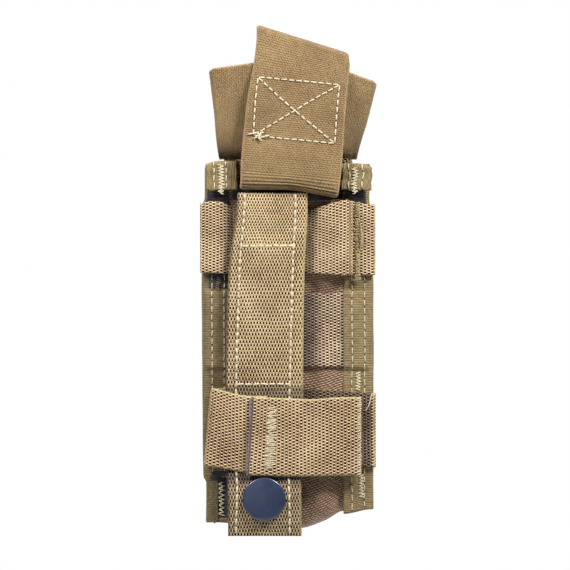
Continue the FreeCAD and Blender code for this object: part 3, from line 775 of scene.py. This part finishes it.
# ---- side bindings and hem tabs
def tape_step(z):
    """How far the tape stands out where it runs over the middle webbing row."""
    up = smooth(z, MIDDLE_LOW_Z - 1.4, MIDDLE_LOW_Z + 0.4)
    down = smooth(-z, -MIDDLE_HIGH_Z - 1.4, -MIDDLE_HIGH_Z + 0.4)
    return (WEB - 0.3) * (up * down)


def binding_sheet(side):
    """Tape round one side edge: t goes from the back's inner edge round to the front, s runs down.
    side is -1 at the left and 1 at the right, here and below."""
    inner, outer = BINDING_IN[side], HALF_W + TAPE
    path = Path([(inner, TAPE_Y), (outer, TAPE_Y), (outer, 7.6), (inner + 4, 7.6)], [1.3, 1.3])

    def place(s, t):
        z = HEM_Z - s
        flat = path.at(t)
        on_back = 1 - smooth(t, 7.6, 9.6)
        wave = 0.22 * ripple(s, t * 0.3, 11.0, 3.0 + side)
        if side > 0:
            z = z - 1.6 * smooth(-z, 62, 77) * (1 - smooth(t, 0.0, 10.0))
        y = flat[..., 1] - on_back * (tape_step(z) + wave) - 0.25 * on_back * bump(t, 4.5, 2.5)
        reach = (flat[..., 0] - inner) / (outer - inner)
        narrow = 3.6 * smooth(-z, 64.0, 66.5) if side < 0 else 0.0
        sway = 0.22 * ripple(s, 0.0, 16.0, 9.0 + side)
        x = flat[..., 0] + narrow * (1 - reach) + sway - side_inset(side, z) * reach
        return np.stack([side * x, y, z], -1)

    return Sheet(place, flip=side < 0), path.length


def side_binding(side, name):
    sheet, width = binding_sheet(side)
    low = body_low(side * 25.0)
    # the left side takes the darker, shaded copy of the tape face: painted shade
    face = SHADED_LEFT_TAPE if side < 0 else TAPE_FACE
    size = (-8.0, HEM_Z - low), (0, width), (0.45, 0.6)
    sew(sheet, "binding_tape", ["side_binding_" + name], "side_binding_tape_" + name, *size, TAPE, face)
    threads = Thread(SEAM_THREAD)
    end = HEM_Z + 64.0 if side < 0 else HEM_Z - low - 0.8
    for x in (21.85, 26.25) if side < 0 else (22.1, 26.6):
        t = x - BINDING_IN[side]
        threads.line(sheet, [(4.0, t), (end, t)], 2.75)
    threads.sew("side_binding_stitching_" + name, "binding_stitching_" + name)
    threads.pierce("side_binding_holes_" + name)
    return sheet


def painted_shade_on_tapes(left, right):
    """Painted shade: dark sheets laid on the tapes where shade falls, under the hem tabs, under the upper row
    and at the lower left, each between two heights.
    """
    for name, tape, high, low, t_range in (
        ("under_left_tab", left, 33.4, 27.0, (0.2, 8.6)),
        ("under_right_tab", right, 33.4, 26.5, (0.4, 9.6)),
        ("under_upper_row", left, 4.5, -1.4, (0.1, 7.2)),
        ("lower_left", left, -63.5, -67.2, (0.1, 6.4)),
    ):
        painted_shade_patch(tape.lifted(0.07), name, (HEM_Z - high, HEM_Z - low), t_range, (0.5, 0.5))


def hem_tab(side, name, x_in, wide, drop):
    """One end of the top hem: tape folded over the rim and left raw at its lower edge."""
    top = HEM_Z + drop
    out_y, in_y = PANEL_Y - 2.6, PANEL_Y + 0.6
    path = Path([(out_y, HEM_Z), (out_y, top), (in_y, top), (in_y, HEM_Z + 2)], [1.35, 1.35])

    def place(s, t):
        flat = path.at(s)
        k = 1 - t / wide
        ragged = 0.45 * ripple(k * wide, 0.0, 1.1, 4.0 + side) + 0.4 * ripple(k * wide, 0.0, 3.5, 5.0)
        worn = 0.9 * smooth(k, 0.6, 1.0) * smooth(s, drop - 4, drop)
        z = flat[..., 1] + ragged * (1 - smooth(s, 0, 2.0)) - worn
        y = flat[..., 0] - 0.7 * (1 - smooth(s, 0, 5.0)) + 0.18 * ripple(s, k * 8, 4.0, 6.0 + side)
        x = x_in + wide * k + 0.3 * ripple(s, k, 3.5, 8.0 + side)
        return np.stack([side * x, y, z], -1)

    sheet = Sheet(place, flip=side < 0)
    size = (0, path.length), (0, wide), (0.35, 0.45)
    sew(sheet, "binding_tape", [], "hem_tab_" + name, *size, HEM, TAPE_FACE, grain=lambda s, t: (t, s))
    return sheet


def hem_tabs():
    for side, name, x_in, x_out, top, rows, zigzag_x, nodes in (
        (-1, "left", 17.4, 28.2, RIM_Z - 0.2, (25.3, 21.1), 22.9, ()),
        (1, "right", 18.3, 28.6, RIM_Z - 1.1, (20.8, 25.5), 22.7, ("hem_bartacks",)),
    ):
        drop = top - HEM_Z
        sheet = hem_tab(side, name, x_in, x_out - x_in, drop)
        threads = Thread(TACK_THREAD)
        for x in rows:
            threads.line(sheet, [(0.4, x_out - x), (drop + 0.4, x_out - x)], 2.7)
        t = x_out - zigzag_x
        threads.zigzag(sheet, (-1.2, t), (drop - 0.8, t), 1.1)
        threads.sew("hem_tab_stitching_" + name, *nodes)
        threads.pierce("hem_tab_holes_" + name)


# ---- webbing rows
def row_point(path, s, t):
    """x and y along a row's path, and a share that is 0 at the row's lower edge and 1 at its upper."""
    flat = path.at(s)
    return flat[..., 0], flat[..., 1], (t + WEB_HALF) / (2 * WEB_HALF)


def sew_row(sheet, name, s_range, material, *nodes, thick=WEB):
    """A full-width piece of webbing on the pouch, with its weave in relief."""
    weave = web_weave, WEAVE_RELIEF, loom
    sew(sheet, "row_webbing", nodes, name, s_range, ACROSS, WEAVE_STEP, thick, material, *weave)


UPPER_PATH = Path(
    [
        (-30.2, 3.0), (-26.5, 1.9), (-22.5, 1.9), (-19.0, 3.15), (6.2, 3.6),
        (17.4, -0.7), (20.6, -1.3), (21.7, 3.1), (29.8, 2.7),
    ],
    [3.0, 2.6, 3.0, 6.0, 6.0, 0.8, 0.5],
)
UPPER_TOP = [
    (-30, 27.9), (-27, 28.6), (-22.5, 28.4), (-16, 24.9), (6.5, 26.0),
    (13, 27.4), (20.5, 29.1), (21.6, 28.9), (23.5, 28.0), (29.5, 27.6),
]
UPPER_BOTTOM = [(-30, 4.2), (-16, 3.6), (6, 4.0), (21, 3.2), (30, 3.4)]


def upper_place(s, t):
    x, y, k = row_point(UPPER_PATH, s, t)
    top, low = curve(x, UPPER_TOP), curve(x, UPPER_BOTTOM)
    lean = 0.9 * smooth(k, 0.55, 1.05) * (bump(x, -16.5, 4.5) + bump(x, 7.0, 5.0))
    return np.stack([x, y + lean, low + (top - low) * k], -1)


def upper_row():
    sheet = Sheet(upper_place)
    sew_row(sheet, "upper_row_webbing", (0, UPPER_PATH.length), ROW_WEB, "upper_webbing")
    right = Thread(0.22)
    where = UPPER_PATH.length - 6.2
    right.bartack(sheet, (where, -WEB_HALF - 2.0), (where, WEB_HALF + 0.2), 1.05, pitch=0.6, rough=0.25)
    k = np.linspace(0, 1, 16)
    loop_s = where + 1.0 + 0.7 * np.sin(math.pi * k)
    right.add(sheet.at(loop_s, 6.2 - 10.0 * k, 0.3 + 0.7 * np.sin(math.pi * k)), np.array([0.0, -1.0, 0.0]))
    right.sew("upper_row_bartack_right", "upper_bartack_right", material=OLIVE_THREAD)
    left = Thread(TACK_THREAD)
    binding, _ = binding_sheet(-1)
    below = HEM_Z - UPPER_LOW_Z
    left.bartack(binding, (below + 0.3, 3.6), (below + 5.6, 3.6), 0.95, pitch=0.7)
    # painted shade: this bartack takes the darker thread copy, as it lies in the shade under the row
    left.sew("upper_row_bartack_left", "upper_bartack_left", material=SHADED_THREAD)


def middle_place(s, t):
    x = s - 27.0
    z = (MIDDLE_LOW_Z + MIDDLE_HIGH_Z) / 2 + t
    y = PANEL_Y - WEB - 0.2 * bump(x, 12.0, 6.0)
    return np.stack(np.broadcast_arrays(x, y, z), -1)


def middle_row():
    # the middle row uses the shaded copy of the row webbing, with painted shade at its left part and right
    # end
    sew_row(Sheet(middle_place), "middle_row_webbing", (0, 54.0), SHADED_MIDDLE_WEB, "middle_webbing")


LOOP_PATH = Path([(30.0, 4.5), (-28.1, 4.5), (-28.1, -1.1), (-7.0, -1.1)], [2.7, 2.7])


def loop_place(s, t):
    """Base run under the strap, fold at the left and front run over it. The band droops to the right."""
    x, y, k = row_point(LOOP_PATH, s, t)
    front = smooth(s, 56.0, 64.0)
    top = curve(x, [(-28, -35.4), (-12, -37.9), (29, -37.9)]) * front
    top = top + curve(x, [(-28, -35.2), (8, -35.6), (30, -36.9)]) * (1 - front)
    low = curve(x, [(-28, -61.9), (-12, -64.2), (29, -64.2)]) * front
    low = low + curve(x, [(-28, -61.6), (30, -62.4)]) * (1 - front)
    z = low + (top - low) * k
    slant = 2.3 * (k - 0.25) * (1 - smooth(x, -28.0, -18.0))
    belly = 0.5 * front * bump(x, -22, 7) * bump(k, 0.5, 0.5)
    return np.stack([x + slant, y - belly, z], -1)


FLAP_PATH = Path(
    [(-13.2, -2.45), (-4.0, -2.4), (4.0, -1.9), (15.0, -1.2), (23.6, 0.6), (25.3, 2.0)],
    [8.0, 14.0, 18.0, 3.0],
)


def flap_place(s, t):
    x, y, k = row_point(FLAP_PATH, s, t)
    top = curve(x, [(-13, -38.2), (-2, -38.5), (8, -38.9), (18, -38.3), (26, -38.2)])
    low = curve(x, [(-13, -65.0), (0, -65.3), (26, -65.0)])
    slant = 1.6 * (k - 0.5) * (1 - smooth(x, -13.0, 0.0))
    return np.stack([x + slant, y - 0.25 * np.sin(math.pi * k), low + (top - low) * k], -1)


def lower_band():
    loop, flap = Sheet(loop_place), Sheet(flap_place)
    sew_row(loop, "keeper_loop_webbing", (0, LOOP_PATH.length), BAND_WEB, "lower_webbing_loop")
    sew_row(flap, "keeper_flap_webbing", (0, FLAP_PATH.length), BAND_WEB, "lower_webbing_flap")
    # painted shade: the loop's base run under the flap is overlaid with the darker, shaded copy of the band
    # webbing
    base = Sheet(lambda s, t: loop.at(s, t, -WEB - 0.1), flip=True)
    sew_row(base, "keeper_base_shade", (1.2, 50.0), SHADED_BASE_WEB, thick=0.5)
    size = (-0.25, 0.95), ACROSS, (0.2, 0.3)
    sew(flap.lifted(0.1), "row_webbing", [], "keeper_flap_cut_end", *size, 0.5, CUT_END, grain=loom)
    tack = Thread(TACK_THREAD)
    tack.bartack(flap, (7.2, -WEB_HALF + 2.4), (7.6, WEB_HALF - 3.0), 1.7, pitch=0.62, rough=0.35)
    tack.bartack(flap, (6.4, -WEB_HALF + 2.0), (7.2, WEB_HALF - 4.5), 1.2, pitch=0.9, rough=0.4)
    tack.sew("keeper_front_bartack", "flap_bartack")
    edge = Thread(TACK_THREAD)
    where = FLAP_PATH.length - 1.2
    edge.bartack(flap, (where, -WEB_HALF - 0.2), (where, WEB_HALF + 0.2), 0.9, pitch=0.7)
    binding, _ = binding_sheet(1)
    for high, low, t in ((-29.8, -37.0, 5.4), (-65.0, -73.2, 6.6)):
        edge.zigzag(binding, (HEM_Z - high, t), (HEM_Z - low, t), 0.95)
    edge.sew("keeper_edge_bartacks", "lower_bartack")


# ---- mounting strap
STRAP_CENTRE = [(-85.7, -7.9), (-60, -8.2), (-35, -8.1), (3, -7.4), (31.7, -5.2)]
STRAP_HALF = [(-85.7, 12.4), (-60, 12.7), (-35, 13.1), (3, 12.9), (31.7, 11.9)]
STRAP_DEPTH = [
    (-85.7, -0.2), (-80.5, -1.2), (-72.5, -1.9), (-65.5, -0.7), (-61, 0.3),
    (-36.5, 0.3), (-34.5, 0.0), (31.7, 0.0),
]
STRAP_LENGTH = STRAP_TOP - TAIL_END


def strap_surface(depth, grow, swell):
    """One layer of the strap, swelled over its pocket. s runs down from its top."""

    def place(s, t):
        z = STRAP_TOP - s
        x = curve(z, STRAP_CENTRE) + t / WEB_HALF * (curve(z, STRAP_HALF) + grow)
        pocket = swell * smooth(np.abs(t), 9.6, 8.4) * smooth(z, -33.5, -31.5) * smooth(-z, -14.0, -12.0)
        wave = 0.12 * ripple(s, t * 0.5, 14.0, 1.0)
        y = curve(z, STRAP_DEPTH) + depth - pocket + wave
        return np.stack([x, y, z], -1)

    return Sheet(place)


def done_on_strap(piece, slot, *nodes):
    """Finishes a piece of the strap, which spans the pouch and the tail, meeting at the keeper's lower edge:
    bakes its placing into its mesh and leaves it on no body.
    """
    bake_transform(piece)
    done(piece, None, slot, *nodes)


def mounting_strap():
    outer, inner = strap_surface(0.0, 0.0, 0.35), strap_surface(WEB + 0.12, 0.15, 0.0)
    size = (0, STRAP_LENGTH), ACROSS
    weave = web_weave, WEAVE_RELIEF, strap_loom
    front = outer.build("strap_outer_webbing", *size, WEAVE_STEP, WEB, STRAP_WEB, *weave)
    done_on_strap(front, "strap_webbing", "strap_outer", "tail_outer")
    back = inner.build("strap_inner_webbing", *size, (0.8, 0.8), WEB, STRAP_WEB)
    done_on_strap(back, "strap_webbing", "strap_inner", "tail_inner")
    threads = Thread(0.36)
    end = STRAP_LENGTH - 0.8
    for line in (
        [(0.3, -10.2), (30, -9.0), (66, -9.3), (103, -9.4), (end, -10.1)],
        [(0.3, 8.3), (30, 8.8), (66, 8.3), (end, 8.7)],
    ):
        threads.line(outer, line, 2.75)
    for z, reach in ((13.3, 9.4), (-33.8, 9.2)):
        threads.line(outer, [(STRAP_TOP - z, -reach), (STRAP_TOP - z, reach)], 2.6, wander=0.1)
    stitching = threads.build("strap_stitching_thread", THREAD)
    done_on_strap(stitching, "thread", "strap_stitching", "tail_stitching")
    done_on_strap(threads.build_holes("strap_needle_holes", 0.22), "thread")


# ---- elastic hood
SIDE_TILT = math.radians(3.4)
BAND_PATH = Path(
    [
        (3.3, 41.0), (3.3, 32.75), (-2.2, 32.75), (-0.7, 50.0), (-0.9, 62.0),
        (2.0, 84.7), (15.5, 81.0), (29.2, 52.0), (29.2, 34.0),
    ],
    [2.3, 2.3, 40.0, 60.0, 2.2, 9.0, 14.0],
)
BAND_TURN = 88.5  # arc length where the band has passed over the top
BAND_MIDDLE = [(31, 0.2), (36, 0.7), (42, 1.2), (60, 2.7), (84, 5.4)]
BAND_WIDTH = [(31, 16.7), (42, 17.2), (60, 16.9), (84, 15.9)]
BAND_SLANT = [(32, 0.0), (38, 0.08), (44, 0.095), (60, 0.10), (70, 0.13), (84, 0.295)]
CURL_RIB = 0.94


def band_place(s, t):
    """Front-to-back elastic, read from its sewn end inside the curl, up, over and down the front."""
    flat = BAND_PATH.at(s)
    y, z = flat[..., 0], flat[..., 1]
    front = smooth(s, BAND_TURN - 12, BAND_TURN + 12)
    level = z + front * (84 - z) * smooth(z, 52, 70)
    ease = 1 - front * (1 - smooth(z, 38, 72))
    middle = curve(level, BAND_MIDDLE) * ease
    width = curve(level, BAND_WIDTH) * ease + 16.0 * (1 - ease)
    slant = curve(level, BAND_SLANT) * ease
    back = 1 - front
    bow = 0.5 * (1 - (t / HOOD_HALF) ** 2) * smooth(z, 30, 40) * back
    droop = 2.9 * np.clip(t / HOOD_HALF, 0, 1) ** 1.2 * (1 - smooth(z, 32.5, 39.5)) * back
    corner = np.clip((t - HOOD_HALF + 2.2) / 2.2, 0, 1)
    droop = droop + 2.0 * (1 - np.sqrt(1 - corner**2 * 0.96)) * smooth(z, 79, 84)
    x = middle + t / HOOD_HALF * width
    return np.stack([x, y - bow, z - t * slant - droop], -1)


def curl_ribs(s, t):
    """Close ribs where the elastic is bent tight."""
    return 0.5 + 0.5 * bump(s, 11.5, 5.0) * np.cos(2 * math.pi * s / CURL_RIB)


def done_on_hood(piece, *nodes):
    """Finishes a band of the hood, which spans the pouch and the hood, meeting above the mouth: bakes its
    placing into its mesh and leaves it on no body.
    """
    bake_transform(piece)
    done(piece, None, "elastic", *nodes)


def hood_strap():
    sheet = Sheet(band_place, flip=True)
    size = (0, BAND_PATH.length), (-HOOD_HALF, HOOD_HALF), (0.235, 0.6)
    piece = sheet.build("hood_strap_elastic", *size, ELASTIC, ELASTIC_FACE, curl_ribs, 0.6)
    done_on_hood(piece, "hood_strap", "hood_strap_root_back", "hood_strap_root_front")
    return sheet


CROSS_HALF = 14.0
LEG = 50.0
SIDE_LOW, SIDE_HIGH = 42.9, 75.2
SIDE_BACK = [(41, 8.0), (43.4, 7.2), (45.2, 4.8), (48, 3.0), (53, 2.0), (76, 1.4)]
RIGHT_FOLD = [(41, 8.4), (43.4, 8.0), (46, 7.0), (50, 5.6), (60, 4.4), (76, 3.4)]
FOLD_PART = 0.34  # share of a leg that lies between the crossing and the fold
FOLD_BLUR = 0.045  # eases the fold between the back and the side


def side_lean(x, z):
    """Leans the side band over to the right above its feet."""
    k = smooth(z, 42.0, 58.0)
    dz = z - RIM_Z
    c, w = math.cos(SIDE_TILT), math.sin(SIDE_TILT)
    return x + k * (x * (c - 1) + dz * w), z + k * (dz * (c - 1) - x * w)


def leg_place(u, k, right):
    """One leg of the side-to-side elastic: out to the fold, then forward and down inside the wall.
    u is 0 at the crossing and 1 at the foot, k is 0 at the lower edge and 1 at the upper."""
    z = SIDE_LOW + (SIDE_HIGH - SIDE_LOW) * k
    y = curve(z, SIDE_BACK)
    start = np.stack([np.full_like(k, CROSS_HALF), y, z], -1)
    fold_y = np.where(right, curve(z, RIGHT_FOLD), y + 1.2)
    fold = np.stack([24.1 + 5.6 * k, fold_y, z - 3.1 * k], -1)
    inside = np.stack([19.5 + 0.8 * k, 9.5 + 17.1 * k, 45.5 + 8.5 * k], -1)
    foot = np.stack([19.6 + 0.8 * k, 8.6 + 19.0 * k, np.full_like(k, 34.0)], -1)
    out = np.clip(u / FOLD_PART, 0, 1)[..., None]
    down = np.clip((u - FOLD_PART) / (1 - FOLD_PART), 0, 1)[..., None]
    flat = start + (fold - start) * out
    turned = fold * (1 - down) ** 2 + 2 * inside * down * (1 - down) + foot * down**2
    return np.where((u < FOLD_PART)[..., None], flat, turned)


def side_place(s, t):
    """Side-to-side elastic. s runs from the left wall, behind the crossing, to the right wall."""
    k = (np.asarray(t, float) + HOOD_HALF) / (2 * HOOD_HALF)
    s, k = np.broadcast_arrays(np.asarray(s, float), k)
    x = s - (LEG + CROSS_HALF)
    u = np.clip((np.abs(x) - CROSS_HALF) / LEG, 0, 1)
    centre_z = SIDE_LOW + (SIDE_HIGH - SIDE_LOW) * k
    centre = np.stack([np.abs(x), curve(centre_z, SIDE_BACK), centre_z], -1)
    eased = (-FOLD_BLUR, 0.25), (0, 0.5), (FOLD_BLUR, 0.25)
    leg = sum(weight * leg_place(np.clip(u + d, 0, 1), k, x > 0) for d, weight in eased)
    inner = smooth(u, 0.0, 0.12)[..., None]
    leg = leg_place(u, k, x > 0) * (1 - inner) + leg * inner
    flat = np.where((np.abs(x) < CROSS_HALF)[..., None], centre, leg)
    droop = k * smooth(x, CROSS_HALF, CROSS_HALF + FOLD_PART * LEG)
    leaned_x, leaned_z = side_lean(flat[..., 0] * np.sign(x + 1e-9), flat[..., 2] - droop)
    return np.stack([leaned_x, flat[..., 1], leaned_z], -1)


def hood_side_band():
    sheet = Sheet(side_place)
    size = (0, 2 * (LEG + CROSS_HALF)), (-HOOD_HALF, HOOD_HALF), (0.6, 0.6)
    piece = sheet.build("hood_side_elastic", *size, ELASTIC, ELASTIC_FACE)
    done_on_hood(piece, "hood_side_band", "hood_side_root_left", "hood_side_root_right")


def band_st(sheet, x, z):
    """The (s, t) of the point of the hood strap's back run that lies at x and z."""
    s = np.linspace(10, 68, 117)
    t = np.linspace(-HOOD_HALF, HOOD_HALF, 69)
    gs, gt = np.meshgrid(s, t, indexing="ij")
    at = sheet.place(gs, gt)
    best = np.argmin((at[..., 0] - x) ** 2 + (at[..., 2] - z) ** 2)
    return gs.ravel()[best], gt.ravel()[best]


def hood_box_stitch(sheet):
    corners = {"tl": (-10.0, 71.0), "tr": (17.4, 68.3), "bl": (-11.7, 50.9), "br": (15.7, 48.1)}
    at = {name: band_st(sheet, *place) for name, place in corners.items()}
    threads = Thread(0.27)
    for a, b in (("tl", "tr"), ("tr", "br"), ("br", "bl"), ("bl", "tl"), ("tl", "br"), ("tr", "bl")):
        threads.line(sheet, [at[a], at[b]], 2.5, wander=0.05)
    knot = np.array(at["bl"]) + np.array([0.5, 1.8])
    for _ in range(16):
        spot = knot + RNG.normal(0, 0.7, 2)
        lean = RNG.normal(0, 1.0, 2)
        threads.stitch(sheet, spot, spot + lean, height=0.7, sag=0.15, hole=False)
    done(threads.build_holes("hood_box_stitch_holes"), "hood", "thread")
    done(threads.build("hood_box_stitch_thread", THREAD), "hood", "thread", "hood_box_stitch")


# ---- loose thread
def loose_thread():
    thread = Thread(0.13)
    k = np.linspace(0, 1, 14)
    x = 26.0 + 2.6 * k**0.6
    z = -42.8 + 6.0 * k**1.5
    y = 1.2 - 1.4 * np.sin(math.pi * k)
    thread.add(np.stack([x, y, z], -1), np.array([0.0, -1.0, 0.0]))
    thread.sew("loose_thread_end")


# ---- metal and hidden parts
def paint(node, material):
    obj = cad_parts[node]
    obj.data.materials.clear()
    obj.data.materials.append(material)


def snap_cap():
    """The snap's cap: a low dome with a rolled rim."""
    low, high = mm_box("snap_cap")
    centre = (low + high) / 2 + np.array([-0.1, 0.0, 0.0])
    radius, face = (high[0] - low[0]) / 2, low[1]
    profile = [(0.0, 0.12), (1.5, 0.12), (3.0, 0.15), (4.6, 0.22), (5.7, 0.30), (6.3, 0.36)]
    rim = 0.62
    for a in np.linspace(0, 2.6, 12):
        profile.append((radius - rim + rim * math.sin(a), 0.42 + rim - rim * math.cos(a)))
    profile += [(radius - 1.4, 1.55), (1.9, 1.6), (1.8, 4.2), (0.0, 4.25)]
    turns = 96
    verts, faces = [], []
    for r, depth in profile:
        for a in np.linspace(0, 2 * math.pi, turns, endpoint=False):
            verts.append((centre[0] + r * math.cos(a), face + depth, centre[2] + r * math.sin(a)))
    for i in range(len(profile) - 1):
        for j in range(turns):
            a, b = i * turns + j, i * turns + (j + 1) % turns
            faces.append([a, a + turns, b + turns, b])
    piece = make_object("snap_cap_dome", verts, faces, SNAP_FACE, np.array(verts)[:, [0, 2]])
    welded = bmesh.new()
    welded.from_mesh(piece.data)
    bmesh.ops.remove_doubles(welded, verts=welded.verts, dist=1e-7)
    bmesh.ops.recalc_face_normals(welded, faces=welded.faces)
    welded.to_mesh(piece.data)
    welded.free()
    done(piece, "strap_tail", "snap_oxide", "snap_cap")


def hardware():
    snap_cap()
    for node in ("snap_socket", "snap_stud", "snap_post"):
        paint(node, SNAP_BRASS)
    paint("snap_spring", SPRING_STEEL)
    paint("strap_stiffener", STIFF_PLASTIC)


def stud_patch():
    low, high = mm_box("stud_patch")
    middle, half = (low[2] + high[2]) / 2, (high[2] - low[2]) / 2

    def place(s, t):
        return np.stack(np.broadcast_arrays(low[0] + s, low[1], middle + t), -1)

    size = (0, high[0] - low[0]), (-half, half), (0.4, 0.255)
    weave = web_weave, 0.4, loom
    sew(Sheet(place), "row_webbing", ["stud_patch"], "stud_patch_webbing", *size, WEB, ROW_WEB, *weave)


# ---- studio
def camera():
    data = bpy.data.cameras.new("camera")
    cam = bpy.data.objects.new("camera", data)
    bpy.context.collection.objects.link(cam)
    distance, frame_width, centre_x, centre_z = 1.5, 0.1945, -0.00102, 0.0
    data.sensor_width = 36.0
    data.lens = data.sensor_width * distance / frame_width
    data.clip_start, data.clip_end = 0.05, 30.0
    cam.location = (centre_x, -distance, centre_z)
    cam.rotation_euler = (math.pi / 2, 0, 0)
    bpy.context.scene.camera = cam


LIGHTS = {  # place, aim, size, power and colour
    "key_right": ((0.34, -0.26, 0.40), (0, 0, 0), 0.14, 4.6, (1.0, 0.975, 0.92)),
    "key_left": ((-0.36, -0.26, 0.38), (0, 0, 0), 0.14, 3.4, (1.0, 0.975, 0.93)),
    "front_fill": ((-0.25, -1.1, 0.1), (0, 0, 0), 0.5, 0.6, (0.66, 0.77, 1.0)),
    "rear": ((-0.5, 0.8, 0.6), (0, 0, 0), 0.7, 6.0, (1.0, 0.99, 0.97)),
    "low": ((0.2, 0.3, -0.26), (0.2, 0.3, 0), 0.5, 0.55, (0.85, 0.9, 1.0)),
}


def lights():
    for name, (place, aim, size, power, colour) in LIGHTS.items():
        data = bpy.data.lights.new(name, "AREA")
        data.shape, data.size, data.energy, data.color = "SQUARE", size, power, colour
        light = bpy.data.objects.new(name, data)
        bpy.context.collection.objects.link(light)
        light.location = place
        light.rotation_euler = (Vector(aim) - Vector(place)).to_track_quat("-Z", "Y").to_euler()


def studio():
    """A white world behind the object and a small pale floor under it."""
    world = bpy.data.worlds.new("studio")
    bpy.context.scene.world = world
    world.use_nodes = True
    back = world.node_tree.nodes["Background"]
    back.inputs[0].default_value = (1, 1, 1, 1)
    back.inputs[1].default_value = 1.0
    for ray in ("diffuse", "glossy", "transmission", "scatter"):
        setattr(world.cycles_visibility, ray, False)
    floor_z, reach, sides = -300.0, 800.0, 64
    turn = np.linspace(0, 2 * math.pi, sides, endpoint=False)
    ring = np.stack([reach * np.cos(turn), reach * np.sin(turn), np.full(sides, floor_z)], -1)
    pale = Nodes("pale_floor")
    cloud = pale.noise(3.0, 2.0, place=pale.node("TexCoord").outputs["Object"])
    tone = pale.ramp(cloud, [(0.3, (0.80,) * 3), (0.7, (0.83,) * 3)])
    floor = make_object("floor", ring, [list(range(sides))], pale.finish(tone, roughness=0.9))
    bpy.context.scene.view_settings.view_transform = "Standard"


camera()
studio()
lights()
back_panel()
front_shell()
painted_shade_on_tapes(side_binding(-1, "left"), side_binding(1, "right"))
hem_tabs()
upper_row()
middle_row()
lower_band()
mounting_strap()
hood_face = hood_strap()
hood_side_band()
hood_box_stitch(hood_face)
loose_thread()
stud_patch()
hardware()
